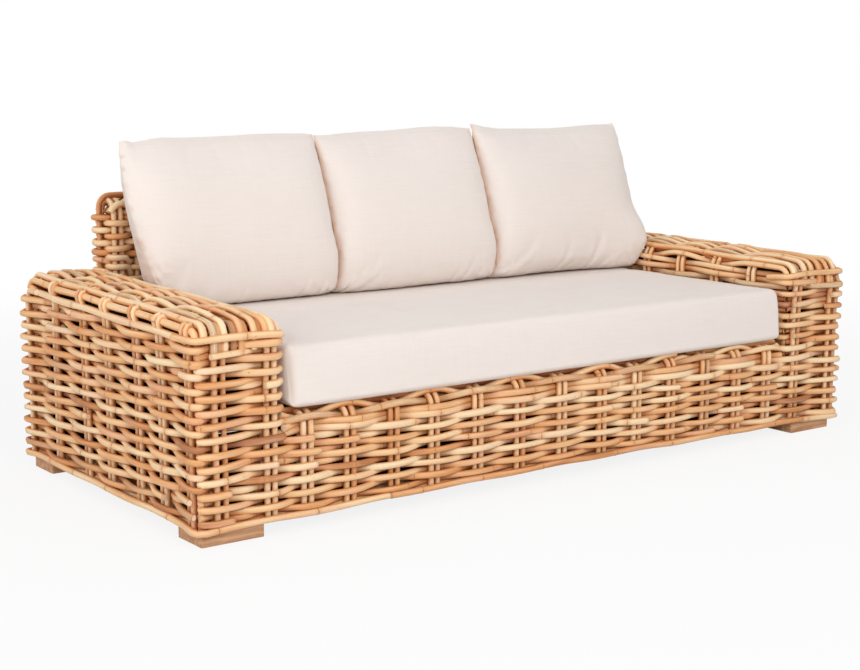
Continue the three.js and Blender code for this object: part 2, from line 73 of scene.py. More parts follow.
class Wire:
    # one shader value that can stand in a plain sum, beside numbers and other wires
    def __init__(self, finish, socket):
        self.finish = finish
        self.socket = socket

    def sum(self, operation, first, second=0.0):
        return self.finish.node("ShaderNodeMath", {"operation": operation}, {0: first, 1: second})

    def __add__(self, other):
        return self.sum("ADD", self, other)

    def __radd__(self, other):
        return self.sum("ADD", other, self)

    def __sub__(self, other):
        return self.sum("SUBTRACT", self, other)

    def __rsub__(self, other):
        return self.sum("SUBTRACT", other, self)

    def __mul__(self, other):
        return self.sum("MULTIPLY", self, other)

    def __rmul__(self, other):
        return self.sum("MULTIPLY", other, self)

    def __gt__(self, other):
        return self.sum("GREATER_THAN", self, other)

    def __lt__(self, other):
        return self.sum("LESS_THAN", self, other)

    def sine(self):
        return self.sum("SINE", self)


class Finish:
    # a material, or the world, that is written as expressions
    def __init__(self, name, holder=None):
        self.material = holder or bpy.data.materials.new(name)
        self.material.use_nodes = True
        self.tree = self.material.node_tree
        self.tree.nodes.clear()

    def node(self, kind, settings=None, inputs=None, output=0):
        made = self.tree.nodes.new(kind)
        for key, value in (settings or {}).items():
            if key == "stops":
                ramp = made.color_ramp
                while len(ramp.elements) < len(value):
                    ramp.elements.new(0.5)
                for element, (place, color) in zip(ramp.elements, value):
                    element.position = place
                    element.color = (*color, 1) if len(color) == 3 else color
            else:
                setattr(made, key, value)
        for key, value in (inputs or {}).items():
            socket = made.inputs[key]
            if isinstance(value, Wire):
                self.tree.links.new(value.socket, socket)
            elif isinstance(value, (tuple, list)) and len(value) == 3 and socket.type == "RGBA":
                socket.default_value = (*value, 1)
            else:
                socket.default_value = value
        return Wire(self, made.outputs[output])

    def attribute(self, name):
        return self.split(self.node("ShaderNodeAttribute", {"attribute_name": name}, output="Vector"))

    def split(self, vector):
        made = self.node("ShaderNodeSeparateXYZ", None, {0: vector})
        return [Wire(self, socket) for socket in made.socket.node.outputs]

    def join(self, x, y, z):
        return self.node("ShaderNodeCombineXYZ", None, {0: x, 1: y, 2: z})

    def noise(self, vector, scale, detail=2.0, roughness=0.5):
        inputs = {"Vector": vector, "Scale": scale, "Detail": detail, "Roughness": roughness}
        return self.node("ShaderNodeTexNoise", None, inputs)

    def smooth(self, value, low, high, fromValue=0.0, toValue=1.0):
        inputs = {0: value, 1: low, 2: high, 3: fromValue, 4: toValue}
        return self.node("ShaderNodeMapRange", {"interpolation_type": "SMOOTHSTEP"}, inputs)

    def mix(self, share, first, second, blend="MIX"):
        settings = {"data_type": "RGBA", "blend_type": blend}
        return self.node("ShaderNodeMix", settings, {0: share, 6: first, 7: second}, output=2)

    def ramp(self, value, stops):
        return self.node("ShaderNodeValToRGB", {"stops": stops}, {0: value})

    def bump(self, height, distance, strength):
        inputs = {"Height": height, "Distance": distance, "Strength": strength}
        return self.node("ShaderNodeBump", None, inputs)

    def show(self, shader, kind="ShaderNodeOutputMaterial"):
        output = self.tree.nodes.new(kind)
        self.tree.links.new(shader.socket, output.inputs["Surface"])
        return self.material

    def surface(self, inputs):
        return self.show(self.node("ShaderNodeBsdfPrincipled", None, inputs))


caneLook = {
    "straw": (0.94, 0.725, 0.455),
    "honey": (0.87, 0.530, 0.265),
    "amber": (0.73, 0.330, 0.120),
    "russet": (0.44, 0.165, 0.055),
    "rose": (0.84, 0.51, 0.37),
    "sideShadeColor": (0.84, 0.60, 0.40),  # painted shade: multiplies the colour on each cane's sides and back, where canes lie against each other
    # painted shade: the colour a weaver takes where it runs behind the stakes
    "sunk": (0.66, 0.45, 0.30),
    "worn": (0.46, 0.30, 0.19),
    "nodeBrown": (0.27, 0.10, 0.04),
    "cutPale": (0.88, 0.66, 0.45),
    # how strongly each mark shows
    "blush": 0.35,
    "frayed": 0.8,
    "sideShadeShare": 0.8,
    "shaded": 0.8,
    "specked": 0.6,
    "halo": 0.45,
    "ring": 0.62,
    "burnt": 0.4,
    "roughness": 0.44,
    "relief": 0.0007,
}


def caneFinish():
    finish = Finish("rattanCane")
    around, upright, along = finish.attribute("grain")
    tone, toNode, toCut = finish.attribute("look")
    # sunk is painted shade in the recesses, worn is the real wear of frayed canes
    sunk, worn, _ = finish.attribute("wear")
    fibre = finish.noise(finish.join(around * 8.0, upright * 8.0, along * 11.0), 1.0, 3.0, 0.65)
    patchSpace = finish.join(around * 0.9, upright * 0.9, along * 9.0)
    patch = finish.noise(patchSpace, 1.0, 2.0, 0.5)
    drift = finish.noise(finish.join(along * 2.6, tone * 40.0, 0.3), 1.0, 1.0, 0.5)
    shade = tone + (patch - 0.5) * 0.75 + (drift - 0.5) * 0.85 + (fibre - 0.5) * (0.28 + worn * 0.9)
    # painted light: the side of each cane that faces out stays pale like a lit crest, while its sides and
    # back turn amber and darker, as shade falls between the canes
    paintedSideShade = 1.0 - finish.smooth(around + (fibre - 0.5) * 0.5, -0.15, 0.85)
    base = finish.ramp(shade + paintedSideShade * 0.28, [
        (0.0, caneLook["straw"]), (0.38, caneLook["honey"]), (0.72, caneLook["amber"]),
        (1.0, caneLook["russet"]),
    ])
    blush = finish.smooth(finish.noise(patchSpace, 0.6, 1.0, 0.5), 0.53, 0.66)
    base = finish.mix(blush * caneLook["blush"], base, caneLook["rose"])
    frayed = finish.smooth(fibre, 0.35, 0.62) * worn * caneLook["frayed"]
    base = finish.mix(frayed, base, caneLook["worn"])
    # painted shade on each cane's sides and back
    base = finish.mix(paintedSideShade * caneLook["sideShadeShare"], base, caneLook["sideShadeColor"], "MULTIPLY")
    # painted shade where a weaver lies deep behind the stakes, and on the corner stakes inside
    base = finish.mix(finish.smooth(sunk, 0.45, 1.0) * caneLook["shaded"], base, caneLook["sunk"], "MULTIPLY")
    specks = finish.noise(finish.join(around * 2.6, upright * 2.6, along * 170.0), 1.0, 1.0, 0.5)
    specked = finish.smooth(specks, 0.69, 0.75) * finish.smooth(patch, 0.45, 0.6) * caneLook["specked"]
    base = finish.mix(specked, base, caneLook["nodeBrown"])
    uneven = finish.noise(finish.join(around * 1.3, upright * 1.3, tone * 30.0), 1.0, 1.0, 0.5)
    ring = 1.0 - finish.smooth(toNode + (uneven - 0.5) * 0.007, 0.0005, 0.0022)
    halo = 1.0 - finish.smooth(toNode, 0.001, 0.018)
    base = finish.mix(halo * caneLook["halo"], base, caneLook["amber"])
    base = finish.mix(ring * caneLook["ring"], base, caneLook["nodeBrown"])
    burnt = (1.0 - finish.smooth(toCut, 0.0, 0.007)) * (toCut > -0.0001)
    base = finish.mix(burnt * caneLook["burnt"], base, caneLook["nodeBrown"])
    isCut = toCut < -0.0001
    base = finish.mix(isCut, base, caneLook["cutPale"])
    relief = fibre * (0.4 + worn * 1.6) + patch * 0.25 - ring * 0.5
    return finish.surface({
        "Base Color": base,
        "Roughness": caneLook["roughness"] + fibre * 0.22 + isCut * 0.3 + worn * 0.2,
        "Normal": finish.bump(relief, caneLook["relief"], 0.75),
        "IOR": 1.46,
    })


rattanCane = caneFinish()


def timberFinish(name, pale, dark, grainAxis, scale):
    # straight grain that runs along one axis
    finish = Finish(name)
    place = finish.node("ShaderNodeTexCoord", output="Object")
    axes = finish.split(place)
    stretch = [axes[k] * (2.5 if k == grainAxis else scale) for k in range(3)]
    warp = finish.noise(place, 6.0, 2.0, 0.5)
    grain = finish.noise(finish.join(*[stretch[k] + warp * 1.5 for k in range(3)]), 1.0, 4.0, 0.65)
    narrow = [axes[k] * (14.0 if k == grainAxis else scale * 9) for k in range(3)]
    pores = finish.noise(finish.join(*narrow), 1.0, 2.0, 0.6)
    base = finish.mix(finish.smooth(grain, 0.3, 0.72), pale, dark)
    base = finish.mix(finish.smooth(pores, 0.6, 0.75) * 0.35, base, tuple(c * 0.45 for c in dark))
    return finish.surface({"Base Color": base, "Roughness": 0.55 + grain * 0.25,
                           "Normal": finish.bump(grain * 0.6 + pores * 0.4, 0.0005, 0.5)})


timberLook = {
    # pale, dark, and how close the grain lies
    "foot_wood": ((0.68, 0.40, 0.22), (0.38, 0.18, 0.08), 75),
    "slat_timber": ((0.66, 0.47, 0.28), (0.50, 0.32, 0.17), 60),
    "rattan_pole": ((0.72, 0.44, 0.20), (0.52, 0.27, 0.105), 45),
}
timbers = {}
for nodeName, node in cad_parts.items():
    low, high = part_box(nodeName)
    grainAxis = int(np.argmax(np.array(high) - np.array(low)))
    for slot in node.material_slots:
        slotName = slot.material.name
        if slotName in timberLook:
            key = (slotName, grainAxis)
            if key not in timbers:
                pale, dark, scale = timberLook[slotName]
                timbers[key] = timberFinish(f"{slotName}_{'xyz'[grainAxis]}", pale, dark, grainAxis, scale)
            slot.material = timbers[key]


# lines and canes

def reachOf(points):
    # how far along a line each of its points lies
    return np.concatenate([[0], np.cumsum(np.linalg.norm(np.diff(points, axis=0), axis=1))])


def unit(rows):
    return rows / np.linalg.norm(rows, axis=1)[:, None]


def between(s, reach, rows):
    # the rows are known at each reach and wanted at each s
    return np.stack([np.interp(s, reach, rows[:, k]) for k in range(3)], 1)


def evenSteps(start, end, step):
    return np.append(np.arange(start, end, step), end)


def columns(*values):
    # the values side by side, each repeated where the others are longer
    return np.stack(np.broadcast_arrays(*values), -1).reshape(-1, len(values))


def readTable(table, place):
    # a table of pairs, read between its rows
    return np.interp(place, *np.transpose(table))


class Line:
    # a line with rounded corners, measured along its length. outward is at right angles to it
    def __init__(self, corners, radius, side=1, plane=(0, 0, 1)):
        corners = [np.array(c, float) for c in corners]
        points = [corners[0]]
        for before, corner, after in zip(corners, corners[1:], corners[2:]):
            into = (corner - before) / np.linalg.norm(corner - before)
            away = (after - corner) / np.linalg.norm(after - corner)
            turn = math.acos(float(np.clip(into @ away, -1, 1)))
            inward = away - (away @ into) * into
            inward /= np.linalg.norm(inward)
            start = corner - into * radius * math.tan(turn / 2)
            steps = max(2, int(math.degrees(turn) / 3))
            for k in range(steps + 1):
                angle = turn * k / steps
                points.append(start + radius * (into * math.sin(angle) + inward * (1 - math.cos(angle))))
        points.append(corners[-1])
        self.points = np.array(points)
        self.reach = reachOf(self.points)
        self.length = float(self.reach[-1])
        tangent = unit(np.gradient(self.points, self.reach, axis=0))
        self.outward = side * np.cross(tangent, np.array(plane, float))

    def at(self, s):
        return between(s, self.reach, self.points)

    def outAt(self, s):
        return unit(between(s, self.reach, self.outward))

    def nearest(self, x, y):
        fine = np.linspace(0, self.length, 4000)
        spots = self.at(fine)
        return float(fine[np.argmin((spots[:, 0] - x) ** 2 + (spots[:, 1] - y) ** 2)])


cane = {
    "weaver": 0.0090,
    "flat": 0.86,
    "stake": 0.0079,
    "pairSpacing": 0.0206,
    "pitch": 0.0163,
    "inset": 0.0150,  # from a wall's outer face to the middle of its stakes
    "innerInset": 0.0225,
    "bend": 0.0268,
    "cornerBend": 0.007,
    "swing": 0.0136,  # how far a weaver's middle goes in front of and behind the stakes
    "border": 0.0086,
    "sides": 8,
    "step": 0.0095,
    "fineStep": 0.008,
    "stakeStep": 0.02,
    "thickness": (0.90, 1.09),
    "firstJoint": (0.02, 0.3),
    "jointGap": (0.19, 0.36),
    "firstSplice": (0.25, 2.2),
    "spliceGap": (0.75, 2.1),
    "wornShare": 0.06,  # how many canes are worn
}

sofa = {
    "halfWidth": 1.1,
    "halfDepth": 0.497,
    "armInside": 0.86,
    "armTop": 0.516,
    "deckTop": 0.293,
    "panelTop": 0.752,
    "weaveFoot": 0.031,
    "stakeFoot": 0.036,
    "stakeTop": 0.474,
    "apronHalf": 0.87,  # between the arms' fronts
    "panelHalf": 0.85,
    "armRear": 0.4543,  # where an arm's inner wall ends
    "cornerStakes": (0.009, 0.018, 0.027),  # how deep they stand behind each corner
}
lineX = sofa["halfWidth"] - cane["inset"]
lineY = sofa["halfDepth"] - cane["inset"]
innerX = sofa["armInside"] + cane["innerInset"]
bothSides = (("left", -1), ("right", 1))
edge = cane["bend"] + cane["inset"]  # a rounded edge's radius, measured outside
wallTop = sofa["armTop"] - edge
apronTop = sofa["deckTop"] - edge


handmade = {
    # how far the finished walls depart from straight ones
    "arch": 0.0085,  # the foot of the front and the rear rises in the middle
    "sideArch": 0.005,
    "ripples": (0.0016, 0.0014),
    "crown": 0.017,  # of an arm's top
    "slope": (0.001, 0.020),  # an arm rises to the rear
    "flare": 0.005,  # an arm is wider near its top
    "square": 0.0115,  # the corners stand out
    "lip": (0.007, 0.006),  # the right arm's front corner is squarer
}


def fade(value, over):
    # 0 below 0, 1 above a distance, and even between them
    return np.clip(value / over, 0, 1)


def settle(points):
    # gives the walls their slight handmade sag, crown, flare and arch
    x, y, z = points[:, 0], points[:, 1], points[:, 2]
    wide, deep = np.abs(x), np.abs(y)
    firstRipple, secondRipple = handmade["ripples"]
    lipOut, lipUp = handmade["lip"]
    low = np.clip(1 - (z - 0.03) / 0.5, 0, 1)
    arch = handmade["arch"] * np.clip(1 - (x / sofa["halfWidth"]) ** 2, 0, 1)
    arch = arch * (deep / sofa["halfDepth"]) ** 6
    sideArch = handmade["sideArch"] * np.clip(1 - (y / sofa["halfDepth"]) ** 2, 0, 1)
    sideArch = sideArch * (wide / sofa["halfWidth"]) ** 12
    ripple = firstRipple * np.sin(x * 9.1 + z * 31 + 1.3) * np.sin(y * 7.3 + z * 17 + 0.4)
    ripple = ripple + secondRipple * np.sin(x * 21.0 - z * 44 + y * 18.0)
    armX = (wide - (sofa["armInside"] + sofa["halfWidth"]) / 2) / 0.12
    onTop = fade(z - 0.40, 0.09) ** 2
    crown = handmade["crown"] * np.clip(1 - (armX - 0.15) ** 2, 0, 1) * fade(z - 0.47, 0.03)
    slope = handmade["slope"][0] + handmade["slope"][1] * (y + sofa["halfDepth"])
    isArm = (np.abs(armX) < 1.25) * fade(0.60 - z, 0.06)
    flare = handmade["flare"] * fade(z - 0.37, 0.09) * fade(wide - 0.86, 0.04) * isArm * (y < 0.3)
    square = handmade["square"] * fade(wide - 1.02, 0.06) * fade(deep - 0.42, 0.06) * fade(0.50 - z, 0.045)
    lip = fade(x - 1.04, 0.03) * fade(-y - 0.36, 0.10) * fade(z - 0.47, 0.03)
    moved = points.copy()
    moved[:, 0] += np.sign(x) * (flare * fade(wide - 1.0, 0.07) + square)
    moved[:, 1] += np.sign(y) * (flare * fade(deep - 0.40, 0.07) + square)
    moved[:, 2] += (arch + sideArch) * low * (z < 0.31) + ripple
    moved[:, 2] += isArm * (crown + slope * onTop)
    moved[:, 0] += lipOut * lip
    moved[:, 2] += lipUp * lip
    return moved


class Canes:
    # gathers canes and makes them into one mesh
    def __init__(self, name, seed):
        self.name = name
        self.random = np.random.default_rng(seed)
        self.points, self.faces, self.cuts, self.grain, self.look, self.wear = [], [], [], [], [], []
        self.count = 0

    def tone(self):
        value = self.random.normal(0.30, 0.21)
        if self.random.random() < 0.12:
            value += 0.34
        return float(np.clip(value, 0.02, 0.98))

    def add(self, path, outward, radius, flat=1.0, ends=(True, True), sunk=0.2):
        tone = self.tone()
        isWorn = self.random.random() < cane["wornShare"]
        worn = self.random.uniform(0.6, 1.0) if isWorn else self.random.uniform(0, 0.12)
        path = settle(np.asarray(path, float))
        along = reachOf(path)
        length = along[-1]
        joints = []
        place = self.random.uniform(*cane["firstJoint"])
        while place < length - 0.012:
            joints.append(place)
            place += self.random.uniform(*cane["jointGap"])
        extra = [p + d for p in joints for d in (-0.006, -0.0025, 0.0, 0.0025, 0.006)]
        nearEnds = [0.0012, length - 0.0012]
        spots = np.unique(np.clip(np.concatenate([along, extra, nearEnds]), 0, length))
        spots = spots[np.concatenate([[True], np.diff(spots) > 2e-4])]
        spots[-1] = length
        path, outward = between(spots, along, path), between(spots, along, outward)
        sunk = np.interp(spots, along, np.broadcast_to(sunk, len(along)))
        tangent = unit(np.gradient(path, spots, axis=0))
        outward = unit(outward - (outward * tangent).sum(1)[:, None] * tangent)
        across = np.cross(tangent, outward)
        toNode = np.full(len(spots), 1.0)
        for p in joints:
            toNode = np.minimum(toNode, np.abs(spots - p))
        wave = self.random.uniform(0, 6.28, 2)
        width = radius * (1 + 0.035 * np.sin(spots * 17 + wave[0]) + 0.02 * np.sin(spots * 41 + wave[1]))
        width = width * (1 + 0.075 * np.exp(-(toNode / 0.0035) ** 2))
        far = np.ones(len(spots))
        toCut = np.minimum(spots if ends[0] else far, length - spots if ends[1] else far)
        width = np.where(toCut < 0.0006, width * 0.9, width)
        sides = cane["sides"]
        angles = np.arange(sides) * 2 * math.pi / sides
        ring = (flat * np.cos(angles)[None, :, None] * outward[:, None, :]
                + np.sin(angles)[None, :, None] * across[:, None, :])
        points = (path[:, None, :] + width[:, None, None] * ring).reshape(-1, 3)
        rings = len(spots)
        here, after = np.arange(sides), (np.arange(sides) + 1) % sides
        row = np.arange(rings - 1)[:, None] * sides
        faces = columns(row + here, row + here + sides, row + after + sides, row + after)
        start = self.random.uniform(0, 40)
        grain = columns(np.cos(angles), np.sin(angles), (spots + start)[:, None])
        look = np.repeat(columns(tone, toNode, toCut), sides, 0)
        wear = np.repeat(columns(sunk, worn, 0.0), sides, 0)
        self.store(points, faces, grain, look, wear, False)
        cap = columns(here, after, sides, sides)
        for k, order in ((0, [0, 1, 2, 3]), (rings - 1, [1, 0, 2, 3])):
            rim = points[k * sides:(k + 1) * sides]
            capPoints = np.concatenate([rim, rim.mean(0)[None, :]])
            capGrain = columns(np.append(np.cos(angles), 0), np.append(np.sin(angles), 0), spots[k] + start)
            capLook = np.tile([tone, 1.0, -1.0], (sides + 1, 1))
            capWearAndShade = np.tile([sunk[k], worn, 0.0], (sides + 1, 1))
            self.store(capPoints, cap[:, order], capGrain, capLook, capWearAndShade, True)

    def store(self, points, faces, grain, look, wear, isCut):
        self.points.append(points)
        self.faces.append(faces + self.count)
        self.cuts.append(np.full(len(faces), isCut))
        self.grain.append(grain)
        self.look.append(look)
        self.wear.append(wear)
        self.count += len(points)

    def finish(self, replaced):
        points = np.concatenate(self.points)
        faces = np.concatenate(self.faces)
        sharp = np.concatenate(self.cuts)
        corners = np.where(faces[:, 2] == faces[:, 3], 3, 4)
        loops = faces[columns(True, True, True, corners == 4)]
        mesh = bpy.data.meshes.new(self.name)
        mesh.vertices.add(len(points))
        mesh.vertices.foreach_set("co", points.astype(np.float32).ravel())
        mesh.loops.add(len(loops))
        mesh.loops.foreach_set("vertex_index", loops.astype(np.int32))
        mesh.polygons.add(len(faces))
        starts = np.concatenate([[0], np.cumsum(corners)[:-1]])
        mesh.polygons.foreach_set("loop_start", starts.astype(np.int32))
        mesh.polygons.foreach_set("loop_total", corners.astype(np.int32))
        mesh.update(calc_edges=True)
        mesh.polygons.foreach_set("use_smooth", ~sharp)
        for key, values in (("grain", self.grain), ("look", self.look), ("wear", self.wear)):
            layer = mesh.attributes.new(key, "FLOAT_VECTOR", "POINT")
            layer.data.foreach_set("vector", np.concatenate(values).astype(np.float32).ravel())
        mesh.validate()
        mesh.materials.append(rattanCane)
        made = bpy.data.objects.new(self.name, mesh)
        scene.collection.objects.link(made)
        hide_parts(*replaced)
        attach(made, "sofa_frame")
        print(self.name, len(points), "points")


def swingAt(s, knots, parity, plateau=0.013):
    # +1 in front of one stake pair, -1 behind the next, and smooth between them
    knots = np.asarray(knots)
    i = np.clip(np.searchsorted(knots, s) - 1, 0, len(knots) - 2)
    span = knots[i + 1] - knots[i]
    t = (s - knots[i]) / span
    e = np.clip(plateau / span, 0, 0.42)
    u = np.clip((t - e) / (1 - 2 * e), 0, 1)
    sign = np.where((i + parity) % 2 == 0, 1.0, -1.0)
    return sign * (0.62 * np.cos(math.pi * u) + 0.38 * (1 - 2 * u))


def weave(canes, spot, start, end, knots, parity, radius=None, flat=None, splices=True, ease=None):
    # one row of weavers. spot(s, offset, lift) gives points and the way out of the wall
    random = canes.random
    radius = radius or cane["weaver"]
    flat = flat or cane["flat"]
    breaks = []
    goal = start + random.uniform(*cane["firstSplice"])
    for i, k in enumerate(knots):
        if splices and start + 0.2 < k < end - 0.2 and k > goal and (i + parity) % 2 == 0:
            breaks.append(k)
            goal = k + random.uniform(*cane["spliceGap"])
    bounds = [start, *breaks, end]
    for n, (a, b) in enumerate(zip(bounds, bounds[1:])):
        isFirst, isLast = n == 0, n == len(bounds) - 2
        tailIn = 0.0 if isFirst else 0.018
        tailOut = 0.0 if isLast else random.uniform(0.012, 0.034)
        s = evenSteps(a - tailIn, b + tailOut, cane["step"])
        waves = random.uniform(0, 6.28, 3)
        lift = 0.0017 * np.sin(s * 5.3 + waves[0]) + 0.0010 * np.sin(s * 13 + waves[1])
        offset = cane["swing"] * swingAt(s, knots, parity) + 0.0004 * np.sin(s * 23 + waves[2])
        if not isFirst:
            # a new cane starts hidden behind the pair that the old one ends in front of
            near = fade((a + 0.075) - s, 0.06)
            offset = offset * (1 - near) - cane["swing"] * near
        if not isLast:
            offset = offset + 0.0016 * fade(s - b, 0.02)
        # how deep the weaver lies behind the stakes; the cane finish paints it darker there as painted shade
        sunk = np.clip(0.5 - offset / (2 * cane["swing"]), 0, 1)
        if ease is not None:
            offset = offset * ease(s)
        points, outward = spot(s, offset, lift)
        thick = radius * random.uniform(*cane["thickness"])
        canes.add(points, outward, thick, flat=flat, ends=(not isFirst, not isLast), sunk=sunk)


def plainRow(canes, spot, start, end, offset, radius, wave=0.0008):
    # long canes laid end to end
    a = start
    while a < end:
        b = a + canes.random.uniform(0.9, 1.6)
        b = end if end - b < 0.35 else b
        s = evenSteps(a, b - 0.002, cane["step"])
        points, outward = spot(s, np.full(len(s), offset), wave * np.sin(s * (6.1 + 1500 * wave) + a * 9))
        canes.add(points, outward, radius * canes.random.uniform(0.95, 1.04), ends=(a > start, b < end))
        a = b


def pairAt(line, s):
    return [s - cane["pairSpacing"] / 2, s + cane["pairSpacing"] / 2]


# the walls

bodyLine = Line([
    (0, lineY, 0), (-lineX, lineY, 0), (-lineX, -lineY, 0), (lineX, -lineY, 0), (lineX, lineY, 0),
    (0, lineY, 0),
], cane["cornerBend"], 1)
armLine = Line([
    (-innerX, sofa["armRear"], 0), (-innerX, -lineY, 0), (-lineX, -lineY, 0), (-lineX, lineY, 0),
    (lineX, lineY, 0), (lineX, -lineY, 0), (innerX, -lineY, 0), (innerX, sofa["armRear"], 0),
], cane["cornerBend"], -1)

pairs = {
    "front": [-1.034, -0.900, -0.800, -0.678, -0.548, -0.423, -0.284, -0.144, 0.002,
              0.146, 0.277, 0.409, 0.545, 0.675, 0.803, 0.927, 1.068],
    "side": [-0.440, -0.301, -0.174, -0.010, 0.131, 0.314, 0.478],
    "rear": [0.1317 * i for i in range(-7, 8)],
    "inner": [-0.340, -0.190, -0.040, 0.110, 0.255, 0.390],
}


def onWall(line, z):
    def spot(s, offset, lift):
        points = line.at(s) + line.outAt(s) * offset[:, None]
        points[:, 2] = z + lift
        return points, line.outAt(s)
    return spot


def knotsOf(line, places):
    return sorted(line.nearest(x, y) for x, y in places)


sideAndRear = [(x, y) for y in pairs["side"] for x in (-lineX, lineX)] + [(x, lineY) for x in pairs["rear"]]
frontPlaces = [(x, -lineY) for x in pairs["front"]]
armFronts = [(x, y) for x, y in frontPlaces if abs(x) > sofa["apronHalf"]]
innerPlaces = [(x, y) for y in pairs["inner"] for x in (-innerX, innerX)]
bodyKnots = knotsOf(bodyLine, frontPlaces + sideAndRear)
armKnots = knotsOf(armLine, armFronts + sideAndRear + innerPlaces)
rowFoot = sofa["weaveFoot"] + 0.0075
print("pairs", len(bodyKnots), len(armKnots))

upperNodes = ["rear_weave"] + [f"arm_{part}_weave_{name}" for part in ("outer", "front", "inner")
                               for name, _ in bothSides]
lowerNodes = ["front_weave", *upperNodes[:3]]

# rows that go right round the sofa, a few to a piece
rowGroups = {
    "lower": [range(1, 5), range(5, 9), range(9, 13)],
    "upper": [range(13, 16), range(16, 20), range(20, 24), range(24, 27)],
}
for group, rows in enumerate(rowGroups["lower"]):
    canes = Canes(f"lower_weavers_{group + 1}", 100 + group)
    for row in rows:
        z = rowFoot + row * cane["pitch"]
        weave(canes, onWall(bodyLine, z), 0.0, bodyLine.length, bodyKnots, row)
    canes.finish(lowerNodes)

innerTurn = armLine.nearest(-innerX, -lineY)
for group, rows in enumerate(rowGroups["upper"]):
    canes = Canes(f"upper_weavers_{group + 1}", 200 + group)
    for row in rows:
        z = rowFoot + row * cane["pitch"]
        start = innerTurn - 0.012 if row < 16 else 0.0
        weave(canes, onWall(armLine, z), start, armLine.length - start, armKnots, row)
    canes.finish(upperNodes)

# the plain canes along the foot of the walls
canes = Canes("foot_border", 300)
for offset in (cane["swing"], -cane["swing"]):
    plainRow(canes, onWall(bodyLine, rowFoot), 0.0, bodyLine.length, offset, cane["border"])
# a thin one closes the gap between them
plainRow(canes, onWall(bodyLine, rowFoot - 0.003), 0.0, bodyLine.length, 0.0, 0.0062)
canes.finish(lowerNodes)

# stakes of the walls
canes = Canes("wall_stakes", 400)


def uprightStake(canes, line, s):
    z = evenSteps(sofa["stakeFoot"], sofa["stakeTop"], cane["stakeStep"])
    base = line.at(np.array([s]))[0]
    out = line.outAt(np.array([s]))[0]
    wave = canes.random.uniform(0, 6.28, 2)
    sway = 0.0012 * np.sin(z * 11 + wave[0])
    tangent = np.array([-out[1], out[0], 0])
    points = columns(base[0], base[1], z) + sway[:, None] * tangent
    points = points + (0.0008 * np.sin(z * 17 + wave[1]))[:, None] * out
    canes.add(points, np.tile(out, (len(z), 1)), cane["stake"] * canes.random.uniform(0.92, 1.06))


cornerPairs = armFronts + [(-lineX, 0.478), (lineX, 0.478)]
rearEnds = [(x, lineY) for x in pairs["rear"] if abs(x) > sofa["panelHalf"]]
for x, y in cornerPairs + rearEnds:
    for s in pairAt(bodyLine, bodyLine.nearest(x, y)):
        uprightStake(canes, bodyLine, s)
for x in (-1, 1):
    for y in (-1, 1):
        # three stakes close each corner from within
        for deep in sofa["cornerStakes"]:
            z = evenSteps(sofa["stakeFoot"], sofa["stakeTop"] - 0.002, cane["stakeStep"])
            away = np.array([x, y, 0]) / math.sqrt(2)
            # these stakes lie deep inside the corner, so they get the full painted shade
            canes.add(columns(x * (lineX - deep), y * (lineY - deep), z), np.tile(away, (len(z), 1)),
                      cane["border"], sunk=1.0)
canes.finish(upperNodes)


# the arms' tops

armShape = {
    "middle": (sofa["armInside"] + sofa["halfWidth"]) / 2,
    "thickCane": 0.0096,
    "thickReach": 0.0315,  # from the middle of a shoulder's arc
    # the stakes' hoops round it, (degrees, reach)
    "hoop": [(12, 0.0265), (22, 0.035), (33, 0.0425), (48, 0.0425), (58, 0.035), (66, 0.022), (74, 0.010)],
    "rows": [-0.068, -0.051, -0.034, -0.017, 0.0, 0.017, 0.034, 0.051, 0.068],
    "rowRadius": 0.0098,
    "rowFlat": 0.74,
    "swing": 0.0096,
    "drift": 0.026,
    "outerShoulders": (84, 50, 16),  # degrees from upright
    "innerShoulders": (-16, -46, -78),
}
topZ = wallTop + cane["bend"]
outerBendX = lineX - cane["bend"]
innerBendX = innerX + cane["bend"]


def pathCane(canes, corners, radius, bend, plane, side):
    line = Line(corners, bend, side, plane)
    s = evenSteps(0, line.length, cane["fineStep"])
    canes.add(line.at(s), line.outAt(s), radius)


def softLine(points):
    # a smooth line through a few points, as a cane takes it
    points = np.array(points, float)
    for _ in range(3):
        q = 0.75 * points[:-1] + 0.25 * points[1:]
        r = 0.25 * points[:-1] + 0.75 * points[1:]
        middle = np.stack([q, r], 1).reshape(-1, 3)
        points = np.concatenate([points[:1], middle, points[-1:]])
    reach = reachOf(points)
    return between(evenSteps(0, reach[-1], cane["fineStep"]), reach, points)


